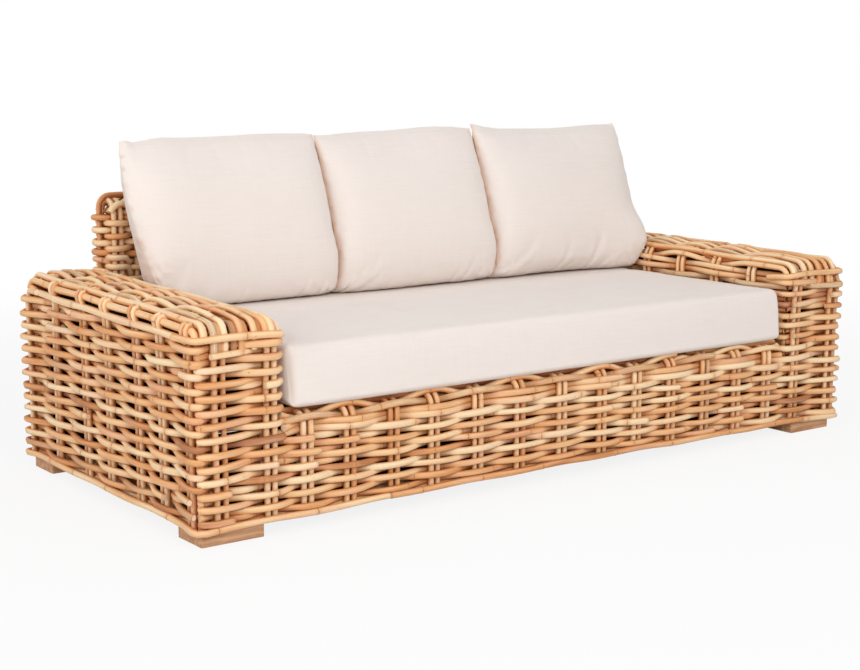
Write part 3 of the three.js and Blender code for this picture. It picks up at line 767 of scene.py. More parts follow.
for name, side in bothSides:
    middle = side * armShape["middle"]
    canes = Canes(f"arm_stakes_{name}", 600 + side)
    for y in pairs["side"][:-1]:
        slant = canes.random.uniform(-0.02, 0.02)
        for half in (-1, 1):
            here = y + half * cane["pairSpacing"] / 2
            wallX = side * lineX
            bendX = side * outerBendX
            points = [(wallX, here, z) for z in (sofa["stakeFoot"], 0.22, 0.40, 0.43)]
            points.append((wallX - side * 0.003, here, 0.455))
            for angle, out in armShape["hoop"]:
                a = math.radians(angle)
                points.append((bendX + side * out * math.cos(a), here + slant * angle / 180,
                               wallTop + out * math.sin(a)))
            points += [(bendX - side * 0.02, here + slant * 0.8, topZ - 0.012),
                       (bendX - side * 0.05, here + slant, topZ - 0.010)]
            path = softLine(points)
            out = columns(path[:, 0] - (middle - side * 0.02), 0, np.clip(path[:, 2] - wallTop + 0.02, 0, 1))
            out = unit(out + np.array([side * 1e-3, 0, 1e-4]))
            canes.add(path, out, cane["stake"] * canes.random.uniform(0.92, 1.05))
    for i, y in enumerate(pairs["inner"]):
        drift = armShape["drift"] * (1 if i % 2 else -1)
        for half in (-1, 1):
            here = y + half * cane["pairSpacing"] / 2
            corners = [(side * innerX, here, 0.30), (side * innerX, here, topZ),
                       (side * (outerBendX + 0.012), here + drift, topZ)]
            thick = cane["stake"] * canes.random.uniform(0.86, 0.96)
            pathCane(canes, corners, thick, cane["bend"], (0, side, 0), 1)
    canes.finish([f"arm_{part}_weave_{name}" for part in ("outer", "inner", "top")])

    # the rows that run along the arm and down at both of its ends
    canes = Canes(f"arm_top_canes_{name}", 620 + side)
    profile = Line([(0, -lineY, 0.450), (0, -lineY, topZ), (0, lineY, topZ), (0, lineY, 0.450)],
                   cane["bend"], -1, (1, 0, 0))
    span = profile.length / 2
    for row, u in enumerate(armShape["rows"]):
        x = middle + side * u
        share = (u + 0.12) / 0.205

        def spot(s, offset, lift, x=x):
            points = profile.at(s) + profile.outAt(s) * offset[:, None]
            points[:, 0] = x + lift * 2
            return points, profile.outAt(s)
        knots = [span + y + armShape["drift"] * (1 if i % 2 else -1) * share
                 for i, y in enumerate(pairs["inner"])]

        def ease(s):
            fromEnd = np.minimum(s, 2 * span - s)
            return np.clip((fromEnd - 0.03) / 0.10, 0.25, 1) * armShape["swing"] / cane["swing"]
        weave(canes, spot, 0.0, profile.length, knots, row, radius=armShape["rowRadius"],
              flat=armShape["rowFlat"], ease=ease, splices=row % 3 == 1)

    # the long canes over the two shoulders
    endY = lineY - cane["bend"]
    for angle in armShape["outerShoulders"] + armShape["innerShoulders"]:
        a = math.radians(abs(angle))
        isOuter = angle > 0
        normal = np.array([side * math.sin(a) * (1 if isOuter else -1), 0, math.cos(a)])
        baseX = side * (outerBendX if isOuter else innerBendX)
        reach = armShape["thickReach"] if isOuter else cane["bend"]

        def spot(s, offset, lift, normal=normal, baseX=baseX, reach=reach):
            y = s - endY
            turn = np.clip(np.clip(np.abs(y) - endY, 0, None) / cane["bend"], 0, math.pi / 2)
            out = columns(normal[0], np.sign(y) * normal[2] * np.sin(turn), normal[2] * np.cos(turn))
            return columns(baseX, np.clip(y, -endY, endY), wallTop) + out * (reach + offset)[:, None], out
        start, end = -0.036, 2 * endY + 0.036
        if angle in armShape["innerShoulders"][1:]:
            parity = armShape["innerShoulders"][::-1].index(angle) + 1
            weave(canes, spot, start, end, [endY + y for y in pairs["inner"]], parity)
        else:
            plainRow(canes, spot, start, end, 0.0 if isOuter else 0.0088, armShape["thickCane"])

    # the border cane round each end of the arm
    for end in (-1, 1):
        yFace = end * (lineY + (0.0135 if end < 0 else -0.006))
        outerFace = side * (lineX + 0.0155)
        outerCorner = side * (lineX + (0.0075 if end < 0 else -0.006))
        innerFace = side * (innerX - 0.0145)
        corners = [(outerFace, end * 0.40, wallTop + 0.006), (outerCorner, yFace, wallTop + 0.008),
                   (innerFace, yFace, wallTop + 0.006), (innerFace, end * 0.42, wallTop - 0.002)]
        pathCane(canes, corners, 0.0090, 0.018, (0, 0, 1), 1 if side * end > 0 else -1)
    canes.finish([f"arm_top_weave_{name}"])


# the back panel

panelShape = {
    "pitch": 0.0172,
    "front": 0.4082,
    "lowEnd": sofa["armInside"] - 0.0212,  # between the arms
    "end": 0.8925,  # over the arms
    "overArms": 0.510,
    "endPair": 0.857,
    "topAngles": {-80: 0, -54: 1, -27: 2, 27: 4, 54: 5, 80: 6},
    "cornerDrop": 0.012,
    "border": 0.0090,
    "cornerTurn": 0.045,
    "overTheEnd": 0.050,
    "firstRow": 0.4795,
    "firstFrontRow": 0.3035,  # below the rows that go right round
    "frontRows": 10,
    "feet": {"between": (0.036, 0.298), "end": (0.49, 0.49)},  # of the stakes, rear and front
    "topJoint": (-0.24, 0.31),
}
frontY = panelShape["front"]
rearY = lineY
panelMiddle = (frontY + rearY) / 2
panelRadius = (rearY - frontY) / 2
archZ = sofa["panelTop"] - panelRadius - 0.0212
panelX = [x for x in pairs["rear"] if abs(x) < sofa["panelHalf"]]
upperX = [-panelShape["endPair"], *panelX, panelShape["endPair"]]
panelNodes = ["panel_front_weave", "panel_rear_weave"]


def panelRing(end, places):
    corners = [(0, rearY, 0), (-end, rearY, 0), (-end, frontY, 0), (end, frontY, 0), (end, rearY, 0),
               (0, rearY, 0)]
    line = Line(corners, panelRadius * 0.999, 1)
    knots = [(x, y) for x in places for y in (rearY, frontY)] + [(-end, panelMiddle), (end, panelMiddle)]
    return line, knotsOf(line, knots)


lowRing = panelRing(panelShape["lowEnd"], panelX)
highRing = panelRing(panelShape["end"], upperX)
panelRows = int((archZ + 0.0015 - panelShape["firstRow"]) / panelShape["pitch"]) + 1
for group in range(3):
    canes = Canes(f"panel_weavers_{group + 1}", 700 + group)
    for row in range(group * panelRows // 3, (group + 1) * panelRows // 3):
        z = panelShape["firstRow"] + row * panelShape["pitch"]
        line, knots = highRing if z > panelShape["overArms"] else lowRing
        weave(canes, onWall(line, z), 0.0, line.length, knots, row)
    canes.finish(panelNodes)

canes = Canes("panel_weavers_front", 710)
frontLine = Line([(-panelShape["lowEnd"], frontY, 0), (panelShape["lowEnd"], frontY, 0)], 0.01, 1)
frontKnots = knotsOf(frontLine, [(x, frontY) for x in panelX])
for row in range(panelShape["frontRows"]):
    z = panelShape["firstFrontRow"] + row * panelShape["pitch"]
    weave(canes, onWall(frontLine, z), 0.012, frontLine.length - 0.012, frontKnots, row + 1)
canes.finish(["panel_front_weave"])

canes = Canes("panel_stakes", 720)
for x in upperX:
    rearFoot, frontFoot = panelShape["feet"]["between" if x in panelX else "end"]
    for half in (-1, 1):
        here = x + half * cane["pairSpacing"] / 2
        corners = [(here, rearY, rearFoot), (here, rearY, archZ + panelRadius),
                   (here, frontY, archZ + panelRadius), (here, frontY, frontFoot)]
        thick = cane["stake"] * canes.random.uniform(0.92, 1.05)
        pathCane(canes, corners, thick, panelRadius * 0.999, (1, 0, 0), 1)
canes.finish(panelNodes + ["rear_weave"])

# the canes over the panel's top. the middle one comes up as a stake at each end
canes = Canes("panel_top_canes", 730)
borderZ = archZ + panelRadius + 0.0125
for end, meet in zip((-1, 1), panelShape["topJoint"]):
    corners = [(end * panelShape["end"], panelMiddle, 0.49), (end * panelShape["end"], panelMiddle, borderZ),
               (meet, panelMiddle, borderZ)]
    pathCane(canes, corners, panelShape["border"], 0.030, (0, 1, 0), -end)
leftMeet, rightMeet = panelShape["topJoint"]
corners = [(leftMeet + 0.002, panelMiddle, borderZ), (rightMeet - 0.002, panelMiddle, borderZ)]
pathCane(canes, corners, panelShape["border"], 0.01, (0, 1, 0), 1)
flatEnd = panelShape["end"] - panelShape["cornerDrop"] - panelRadius - 0.003
for angle, parity in panelShape["topAngles"].items():
    a = math.radians(angle)
    normal = (math.sin(a), math.cos(a))

    def spot(s, offset, lift, normal=normal):
        x = s - flatEnd
        turn = np.clip(np.abs(x) - flatEnd, 0, None) / panelShape["cornerTurn"]
        reach = panelRadius + offset
        level = panelShape["cornerDrop"] + reach * normal[1]
        points = columns(np.clip(x, -flatEnd, flatEnd) + np.sign(x) * level * np.sin(turn),
                         panelMiddle + reach * normal[0],
                         archZ - panelShape["cornerDrop"] + level * np.cos(turn))
        return points, columns(np.sign(x) * normal[1] * np.sin(turn), normal[0], normal[1] * np.cos(turn))
    past = panelShape["overTheEnd"]
    weave(canes, spot, -past, 2 * flatEnd + past, [x + flatEnd for x in upperX], parity + panelRows)
canes.finish(["panel_top_weave"])

# the front edge of the seat

seatEdge = {
    "half": 0.868,
    "stakeEnd": -0.425,
    # row, whether it is woven, and how far a plain one stands off the stakes
    "rows": [(13, True, 0), (14, True, 0), (15, True, 0), (16, False, 0.007)],
    "endPairs": (-0.905, 0.927),
}
canes = Canes("seat_edge_weave", 500)
edgeZ = apronTop + cane["bend"]
apronX = [x for x in pairs["front"] if abs(x) < sofa["apronHalf"]]
for x in apronX:
    for side in (-1, 1):
        here = x + side * cane["pairSpacing"] / 2
        corners = [(here, -lineY, sofa["stakeFoot"]), (here, -lineY, edgeZ),
                   (here + 0.004 * side, seatEdge["stakeEnd"], edgeZ)]
        thick = cane["stake"] * canes.random.uniform(0.92, 1.06)
        pathCane(canes, corners, thick, cane["bend"], (1, 0, 0), -1)
edgeProfile = Line([(0, -lineY, 0.2), (0, -lineY, edgeZ), (0, -0.38, edgeZ)], cane["bend"], -1, (1, 0, 0))
edgeHalf, endPairs = seatEdge["half"], seatEdge["endPairs"]
edgeKnots = [x + edgeHalf for x in (endPairs[0], *apronX, endPairs[1])]
for row, isWoven, standOff in seatEdge["rows"]:
    rise = np.array([rowFoot + row * cane["pitch"] - 0.2])
    at, out = edgeProfile.at(rise)[0], edgeProfile.outAt(rise)[0]

    def spot(s, offset, lift, at=at, out=out):
        along = np.array([0, out[2], -out[1]])
        points = columns(s - edgeHalf, at[1], at[2]) + offset[:, None] * out + lift[:, None] * along
        return points, np.tile(out, (len(s), 1))
    if isWoven:
        weave(canes, spot, 0.0, 2 * edgeHalf, edgeKnots, row + 1)
    else:
        plainRow(canes, spot, 0.0, 2 * edgeHalf, standOff, cane["border"], 0.0030)
canes.finish(["front_weave", "deck_edge_weave"])


# dark boards behind the weave, a painted shadow: they stand in for the shade inside the sofa that shows
# through the gaps

shadeBacking = {
    "front": 0.4185,
    "side": 1.0215,
    "end": 1.060,
    "low": 0.036,
    "underDeck": 0.246,
    "inArm": 0.4725,
    "armTop": 0.475,
    "thickness": 0.003,
    "armSpan": (0.905, 1.060),  # from the middle, at the ends of the front and the rear
    "armHeight": (0.248, 0.439),
    "sideHalf": 0.4165,
    "armTopSpan": (0.906, 1.054),
    "armTopHalf": 0.464,
    "deck": ((-0.905, -0.4145, 0.2755), (0.905, 0.4205, 0.2785)),
    "rear_rail": ((-0.905, 0.4545, 0.247), (0.905, 0.4575, 0.300)),
    "panels": [(-0.83, -0.628), (-0.579, -0.226), (-0.177, 0.177), (0.226, 0.579), (0.628, 0.83)],
    "panelDepth": (0.4405, 0.4435),
    "panelHeight": (0.300, 0.655),
}


def shadeBackingFinish():
    finish = Finish("shadeBackingBoard")
    place = finish.node("ShaderNodeTexCoord", output="Object")
    # near black, the painted shadow seen through the gaps in the weave
    mottle = finish.noise(place, 160.0, 3.0, 0.6)
    base = finish.mix(mottle, (0.010, 0.008, 0.006), (0.024, 0.019, 0.015))
    return finish.surface({"Base Color": base, "Roughness": 0.95, "Normal": finish.bump(mottle, 0.0004, 0.5),
                           "Specular IOR Level": 0.1})


shadeBackingBoard = shadeBackingFinish()


def newObject(name, points, faces):
    mesh = bpy.data.meshes.new(name)
    mesh.from_pydata(np.asarray(points, float).tolist(), [], np.asarray(faces).tolist())
    mesh.update()
    made = bpy.data.objects.new(name, mesh)
    scene.collection.objects.link(made)
    return made


def gridCells(index):
    return np.stack([index[:-1, :-1], index[1:, :-1], index[1:, 1:], index[:-1, 1:]], -1).reshape(-1, 4)


def boardPiece(name, low, high, bow=0.0):
    # a thin board that bows a little between its edges
    low, high = np.array(low, float), np.array(high, float)
    thin = int(np.argmin(high - low))
    first, second = [k for k in range(3) if k != thin]
    counts = [max(4, int((high[k] - low[k]) / 0.08)) for k in (first, second)]
    a, b = np.meshgrid(np.linspace(0, 1, counts[0]), np.linspace(0, 1, counts[1]), indexing="ij")
    index = np.arange(a.size).reshape(a.shape)
    cells = gridCells(index)
    sheets, swell = [], bow * 4 * a.ravel() * (1 - a.ravel()) * b.ravel() * (1 - b.ravel())
    for level in (low[thin], high[thin]):
        grid = np.zeros((a.size, 3))
        grid[:, first] = low[first] + a.ravel() * (high[first] - low[first])
        grid[:, second] = low[second] + b.ravel() * (high[second] - low[second])
        grid[:, thin] = level + swell
        sheets.append(grid)
    rim = np.concatenate([index[:, 0], index[-1, 1:], index[::-1, -1][1:], index[0, ::-1][1:-1]])
    after = np.roll(rim, -1)
    walls = np.stack([rim, after, after + a.size, rim + a.size], -1)
    faces = np.concatenate([cells[:, ::-1], cells + a.size, walls])
    made = newObject(name, np.concatenate(sheets), faces)
    made.data.materials.append(shadeBackingBoard)
    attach(made, "sofa_frame")


halfThick = shadeBacking["thickness"] / 2
for name, way in (("front", -1), ("rear", 1)):
    y = way * shadeBacking["front"]
    boardPiece(f"backing_{name}", (-shadeBacking["end"], y - halfThick, shadeBacking["low"]),
               (shadeBacking["end"], y + halfThick, shadeBacking["underDeck"]), 0.002 * way)
    for label, side in bothSides:
        ends = sorted(side * x for x in shadeBacking["armSpan"])
        foot, top = shadeBacking["armHeight"]
        boardPiece(f"backing_{name}_{label}", (ends[0], y - halfThick, foot), (ends[1], y + halfThick, top))
for label, side in bothSides:
    x, half = side * shadeBacking["side"], shadeBacking["sideHalf"]
    boardPiece(f"backing_side_{label}", (x - halfThick, -half, shadeBacking["low"]),
               (x + halfThick, half, shadeBacking["inArm"]), 0.001 * side)
    ends, half = sorted(side * x for x in shadeBacking["armTopSpan"]), shadeBacking["armTopHalf"]
    boardPiece(f"backing_arm_top_{label}", (ends[0], -half, shadeBacking["armTop"] - halfThick),
               (ends[1], half, shadeBacking["armTop"] + halfThick))
for name in ("deck", "rear_rail"):
    boardPiece(f"backing_{name}", *shadeBacking[name])
for k, (left, right) in enumerate(shadeBacking["panels"]):
    (near, far), (foot, top) = shadeBacking["panelDepth"], shadeBacking["panelHeight"]
    boardPiece(f"backing_panel_{k + 1}", (left, near, foot), (right, far, top))
print("backing boards made")


# cushions

linenLook = {
    "light": (0.845, 0.765, 0.715),
    "dark": (0.760, 0.670, 0.610),
    "thread": 0.0016,
    "seam": (0.84, 0.62, 0.48),  # painted warm shade: multiplies the colour along the cushions' joints and under their foot
    "seamShare": 0.9,
    "threadShow": 0.06,
    "roughness": 0.92,
    "sheen": 0.12,
    "relief": 0.0004,
}


def linenFinish():
    finish = Finish("linen")
    place = finish.node("ShaderNodeTexCoord", output="Object")
    x, y, z = finish.split(place)
    tile = 6.2832 / linenLook["thread"]
    wobble = finish.noise(place, 90.0, 2.0, 0.5)
    up = ((z + y * 0.7 + wobble * 0.0009) * tile).sine()
    over = ((x + wobble * 0.0011) * tile).sine()
    slub = finish.noise(finish.join(x * 12.0, y * 12.0, z * 260.0), 1.0, 2.0, 0.6)
    slubUp = finish.noise(finish.join(x * 260.0, y * 12.0, z * 12.0), 1.0, 2.0, 0.6)
    cloud = finish.noise(place, 3.0, 2.0, 0.5)
    share = 0.22 + (slub - 0.5) * 0.7 + (slubUp - 0.5) * 0.5 + (cloud - 0.5) * 0.35
    share = share + (up + over) * linenLook["threadShow"]
    base = finish.mix(finish.smooth(share, 0.0, 1.0), linenLook["light"], linenLook["dark"])
    # painted warm shade along the back cushions' joints, their foot and their gathers
    seam, _, _ = finish.attribute("seam")
    base = finish.mix(seam * linenLook["seamShare"], base, linenLook["seam"], "MULTIPLY")
    relief = up * 0.25 + over * 0.25 + slub * 0.5 + slubUp * 0.4
    return finish.surface({
        "Base Color": base,
        "Roughness": linenLook["roughness"],
        "Normal": finish.bump(relief, linenLook["relief"], 0.55),
        "Sheen Weight": linenLook["sheen"],
        "Sheen Roughness": 0.5,
    })


linen = linenFinish()


def closedForm(name, surface, across, upward):
    # two grids that share their rim. surface(u, v, isBack) gives a point, u and v go from -1 to 1
    u = np.sin(np.linspace(-1, 1, across) * math.pi / 2)
    v = np.sin(np.linspace(-1, 1, upward) * math.pi / 2)
    gridU, gridV = np.meshgrid(u, v, indexing="ij")
    rim = np.zeros((across, upward), bool)
    rim[0, :] = rim[-1, :] = rim[:, 0] = rim[:, -1] = True
    front = np.arange(across * upward).reshape(across, upward)
    back = front.copy()
    back[~rim] = across * upward + np.arange((~rim).sum())
    faces = np.concatenate([gridCells(front), gridCells(back)[:, ::-1]])
    points = np.concatenate([surface(gridU, gridV, False).reshape(-1, 3), surface(gridU, gridV, True)[~rim]])
    isRim = np.concatenate([rim.ravel(), np.zeros((~rim).sum(), bool)])
    isFront = np.arange(len(points)) < across * upward
    return newObject(name, points, faces), isRim, isFront


def pointValues(made, key="co"):
    values = np.empty(len(made.data.vertices) * 3)
    made.data.vertices.foreach_get(key, values)
    return values.reshape(-1, 3)


def setPoints(made, points):
    made.data.vertices.foreach_set("co", points.astype(np.float32).ravel())
    made.data.update()


def applyModifiers(made):
    depsgraph = bpy.context.evaluated_depsgraph_get()
    depsgraph.update()
    mesh = bpy.data.meshes.new_from_object(made.evaluated_get(depsgraph))
    made.modifiers.clear()
    made.data = mesh


clothLook = {
    "quality": 5,
    "mass": 0.3,
    "tension_stiffness": 15,
    "compression_stiffness": 15,
    "shear_stiffness": 5,
    "bending_stiffness": 1.5,
    "use_pressure": True,
    "vertex_group_mass": "pinned",
}
clothFrames = 20


def puff(made, pinned, pressure, cap, shrink, share):
    # blows the shape up as cloth, and keeps every point near where it began.
    # share is how much of the move stays
    before = pointValues(made)
    group = made.vertex_groups.new(name="pinned")
    for level in (0.25, 0.5, 0.75, 1.0):
        chosen = np.nonzero((pinned > level - 0.25) & (pinned <= level))[0]
        group.add(chosen.tolist(), level, "REPLACE")
    cloth = made.modifiers.new("cloth", "CLOTH")
    settings = cloth.settings
    for key, value in clothLook.items():
        setattr(settings, key, value)
    settings.uniform_pressure_force = pressure
    settings.shrink_min = shrink
    settings.effector_weights.gravity = 0
    cloth.point_cache.frame_start = 1
    cloth.point_cache.frame_end = clothFrames
    for frameNumber in range(1, clothFrames + 1):
        scene.frame_set(frameNumber)
    applyModifiers(made)
    made.vertex_groups.clear()
    scene.frame_set(1)
    move = pointValues(made) - before
    size = np.linalg.norm(move, axis=1)
    move *= (share * cap * np.tanh(size / cap) / np.maximum(size, 1e-9))[:, None]
    setPoints(made, before + move)


def dress(made, name):
    rounder = made.modifiers.new("subdivision", "SUBSURF")
    rounder.levels = rounder.render_levels = 1
    applyModifiers(made)
    made.data.polygons.foreach_set("use_smooth", np.ones(len(made.data.polygons), bool))
    made.data.materials.clear()
    made.data.materials.append(linen)
    made.data.update()
    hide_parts(name)
    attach(made, name)
    print(name, len(made.data.vertices), "points")


def foldDepth(points, folds):
    # each fold is a crease from its foot (x, z) along its run (x, z), with a width and a depth
    depth = np.zeros(len(points))
    for x, z, runX, runZ, width, deep in folds:
        length = math.hypot(runX, runZ)
        alongX, alongZ = runX / length, runZ / length
        dx, dz = points[:, 0] - x, points[:, 2] - z
        along = (dx * alongX + dz * alongZ) / length
        off = (dx * alongZ - dz * alongX) / (width * (0.45 + 0.9 * np.clip(along, 0, 1)))
        share = np.where(along < 0, np.exp(-(along * length / 0.006) ** 2), np.clip(1 - along, 0, 1) ** 0.8)
        depth += deep * share * (np.exp(-off ** 2) - 0.55 * np.exp(-((off - 1.9) / 1.1) ** 2)
                                 - 0.35 * np.exp(-((off + 1.9) / 1.1) ** 2))
    return depth


seatCushion = {
    "clearance": 0.0012,
    "spacing": 0.0135,
    "edgeReach": 0.024,  # closer lines near the edges
    "edgeLines": (0, 0.12, 0.3, 0.55, 0.8, 1.1),
    "topRadius": 0.020,
    "footRadius": 0.022,
    "footCorner": 0.042,  # the rounder lower corners of its front
    "leftCorner": 0.034,
    "frontReach": 0.020,  # how far the filled front stands out of the plain form
    "frontBulge": 0.015,
    "sidePull": 0.002,
    "puff": (2.5, 0.022, -0.004, 0.3),  # pressure, cap, shrink, share
    "fill": 0.85,
}


def makeSeatCushion():
    look = seatCushion
    low, high = [np.array(corner, float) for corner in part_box("seat_cushion")]
    low[1] -= look["frontReach"]
    middle = (low + high) / 2
    half = (high - low) / 2 - look["clearance"]

    def spaced(size):
        near = look["edgeReach"] * np.array(look["edgeLines"])
        count = max(2, int((2 * size - 2 * near[-1]) / look["spacing"]))
        even = np.linspace(-size + near[-1], size - near[-1], count)[1:-1]
        return np.concatenate([-size + near, even, size - near[::-1]])
    lines = [spaced(size) for size in half]
    points, faces, count = [], [], 0
    for axis in range(3):
        first, second = [k for k in range(3) if k != axis]
        a, b = np.meshgrid(lines[first], lines[second], indexing="ij")
        index = np.arange(a.size).reshape(a.shape)
        cells = gridCells(index)
        for sign in (-1, 1):
            grid = np.zeros((a.size, 3))
            grid[:, first], grid[:, second], grid[:, axis] = a.ravel(), b.ravel(), sign * half[axis]
            outward = sign * (-1 if axis == 1 else 1)
            points.append(grid)
            faces.append((cells if outward > 0 else cells[:, ::-1]) + count)
            count += len(grid)
    points, faces = np.concatenate(points), np.concatenate(faces)
    _, kept, same = np.unique(np.round(points, 5), axis=0, return_index=True, return_inverse=True)
    points, faces = points[kept], same.reshape(-1)[faces]
    radius = np.where(points[:, 2] < 0, look["footRadius"], look["topRadius"])[:, None]
    core = np.clip(points, -(half - radius), half - radius)
    away = points - core
    size = np.linalg.norm(away, axis=1)
    reach = np.where(size > 1e-6, radius[:, 0] / np.maximum(size, 1e-6), 1.0)
    corner = (np.abs(away) > 1e-6).sum(1) > 1
    points = np.where(corner[:, None], core + away * reach[:, None], points)
    along, deep, tall = points[:, 0] / half[0], points[:, 1] / half[1], points[:, 2] / half[2]

    def turnCorner(sign, axis, radius):
        # rounds the corner between a side and the foot or the front
        offSide = sign * points[:, 0] - (half[0] - radius)
        offFace = -points[:, axis] - (half[axis] - radius)
        beyond = np.hypot(offSide, offFace)
        turned = (offSide > 0) & (offFace > 0) & (beyond > radius)
        scale = np.where(turned, radius / np.maximum(beyond, 1e-6), 1.0)
        points[:, 0] = np.where(turned, sign * (half[0] - radius + offSide * scale), points[:, 0])
        points[:, axis] = np.where(turned, -(half[axis] - radius + offFace * scale), points[:, axis])
    footRound = look["footRadius"] + (look["footCorner"] - look["footRadius"]) * fade(-deep - 0.55, 0.35)
    turnCorner(np.sign(points[:, 0]), 2, footRound)
    turnCorner(-1, 1, look["leftCorner"])  # the front left corner is rounder, seen from above
    isFrontFace = np.clip(-deep, 0, 1) ** 12
    belly = np.clip(1 - ((tall + 0.35) / 1.25) ** 2, 0, 1)
    endSlack = np.where(along > 0, 0.15, 1.0) * along ** 30
    points[:, 1] -= isFrontFace * look["frontBulge"] * np.clip(1 - endSlack, 0, 1) * belly
    points[:, 0] -= np.sign(along) * look["sidePull"] * np.clip(np.abs(along), 0, 1) ** 8 * (1 - deep ** 2)
    points = points + middle
    made = newObject("seat_cushion_linen", points, faces)
    pinned = np.where(points[:, 2] < low[2] + 0.02, 1.0, 0.0) + np.where(points[:, 1] > 0.2, 0.5, 0.0)
    puff(made, np.clip(pinned, 0, 1), *look["puff"])
    points = pointValues(made)
    gap = 0.0008
    points[:, 0] = np.clip(points[:, 0], low[0] + gap, high[0] - gap)
    points[:, 1] = np.clip(points[:, 1], low[1] - 0.018, high[1] - gap)
    soft = fade(0.12 - points[:, 1], 0.10)
    points[:, 2] = np.clip(points[:, 2], low[2] + gap, high[2] - 0.0004 + 0.009 * soft)
    setPoints(made, points)
    dress(made, "seat_cushion")


backCushion = {
    # (y, z) from the bottom seam up to the top seam
    "front": [(0.205, 0.4507), (0.190, 0.4507), (0.172, 0.4530), (0.152, 0.464), (0.137, 0.490),
              (0.129, 0.530), (0.131, 0.590), (0.145, 0.655), (0.167, 0.720), (0.192, 0.780), (0.226, 0.840),
              (0.264, 0.885), (0.298, 0.908)],
    "seam": [(0.205, 0.4560), (0.196, 0.462), (0.184, 0.470), (0.174, 0.485), (0.168, 0.510),
             (0.168, 0.545), (0.176, 0.590), (0.198, 0.650), (0.221, 0.720), (0.244, 0.780), (0.267, 0.840),
             (0.285, 0.885), (0.298, 0.908)],
    "back": [(0.205, 0.4507), (0.270, 0.4507), (0.335, 0.4515), (0.368, 0.460), (0.381, 0.485),
             (0.3850, 0.530), (0.3852, 0.600), (0.3850, 0.670), (0.3840, 0.735), (0.379, 0.795),
             (0.362, 0.850), (0.332, 0.890), (0.298, 0.908)],
    "across": 104,
    "upward": 84,
    # how far the outer ends stand out over the arms, (z, reach)
    "leftReach": [(0.47, 0.0), (0.52, 0.008), (0.535, 0.014), (0.56, 0.020), (0.58, 0.026), (0.627, 0.034),
                  (0.68, 0.044), (0.73, 0.050), (0.79, 0.051), (0.865, 0.046), (0.91, 0.037)],
    "rightReach": [(0.47, 0.0), (0.50, 0.008), (0.52, 0.018), (0.545, 0.028), (0.58, 0.029), (0.63, 0.030),
                   (0.68, 0.029), (0.73, 0.030), (0.80, 0.031), (0.86, 0.032), (0.91, 0.032)],
    "gap": [(0.4, -0.0015), (1.0, -0.0015)],  # the same for the ends that meet
    # the line of each cushion's top, (x, z)
    "tops": [
        [(-0.889, 0.900), (-0.880, 0.903), (-0.855, 0.897), (-0.800, 0.9063), (-0.774, 0.9088),
         (-0.70, 0.907), (-0.63, 0.908), (-0.55, 0.9093), (-0.474, 0.9125), (-0.40, 0.912), (-0.32, 0.910),
         (-0.295, 0.906)],
        [(-0.281, 0.903), (-0.25, 0.903), (-0.198, 0.9075), (-0.114, 0.9116), (-0.03, 0.9128), (0.03, 0.9146),
         (0.091, 0.919), (0.15, 0.921), (0.21, 0.920), (0.25, 0.9165), (0.2875, 0.911)],
        [(0.2875, 0.925), (0.306, 0.9245), (0.337, 0.918), (0.40, 0.9105), (0.50, 0.9086), (0.60, 0.907),
         (0.67, 0.909), (0.736, 0.913), (0.807, 0.9155), (0.86, 0.915), (0.887, 0.9175)],
    ],
    "tableTop": 0.908,  # the height at which the curves above end
    "endForward": 0.034,  # how far the right cushion's lower end comes forward
    "footBack": 0.020,
    "clearance": 0.0012,
    # spacing, share that is there, width, depth
    "sidePuckers": (0.021, 0.7, 0.0040, (0.0014, 0.0042)),
    "footPuckers": (0.024, 0.75, 0.0045, (0.0010, 0.0030)),
    "waver": 0.0016,
    "rearLimit": (0.3855, 0.40),  # below and above the panel's shoulder
    "shoulder": 0.77,
    "puff": (4.0, 0.026, -0.012, 0.35),  # pressure, cap, shrink, share
    "fill": 0.8,
    "folds": [
        [(-0.36, 0.452, 0.012, 0.055, 0.007, 0.0045), (-0.42, 0.452, 0.020, 0.080, 0.008, 0.0045),
         (-0.50, 0.452, 0.010, 0.040, 0.006, 0.0030), (-0.33, 0.452, 0.004, 0.030, 0.005, 0.0040),
         (-0.62, 0.452, 0.012, 0.045, 0.008, 0.0030), (-0.75, 0.452, 0.004, 0.060, 0.010, 0.0030),
         (-0.86, 0.56, 0.060, 0.030, 0.008, 0.0040), (-0.87, 0.52, 0.055, 0.045, 0.009, 0.0045)],
        [(-0.27, 0.452, 0.040, 0.045, 0.006, 0.0050), (-0.265, 0.452, 0.018, 0.070, 0.006, 0.0045),
         (-0.24, 0.452, 0.045, 0.022, 0.005, 0.0035), (-0.13, 0.452, 0.010, 0.035, 0.007, 0.0040),
         (-0.04, 0.452, 0.012, 0.030, 0.006, 0.0030), (0.11, 0.452, 0.020, 0.060, 0.008, 0.0050),
         (0.15, 0.452, 0.035, 0.090, 0.008, 0.0045), (0.20, 0.452, 0.022, 0.050, 0.006, 0.0035),
         (0.27, 0.452, -0.035, 0.040, 0.006, 0.0040)],
        [(0.31, 0.452, 0.030, 0.030, 0.005, 0.0035), (0.40, 0.452, 0.010, 0.030, 0.006, 0.0030),
         (0.53, 0.452, 0.040, 0.120, 0.010, 0.0055), (0.56, 0.452, 0.040, 0.050, 0.007, 0.0040),
         (0.66, 0.452, 0.036, 0.135, 0.011, 0.0065), (0.70, 0.452, 0.040, 0.060, 0.008, 0.0040),
         (0.78, 0.452, -0.010, 0.050, 0.007, 0.0035), (0.83, 0.470, -0.040, 0.040, 0.007, 0.0040)],
    ],
}


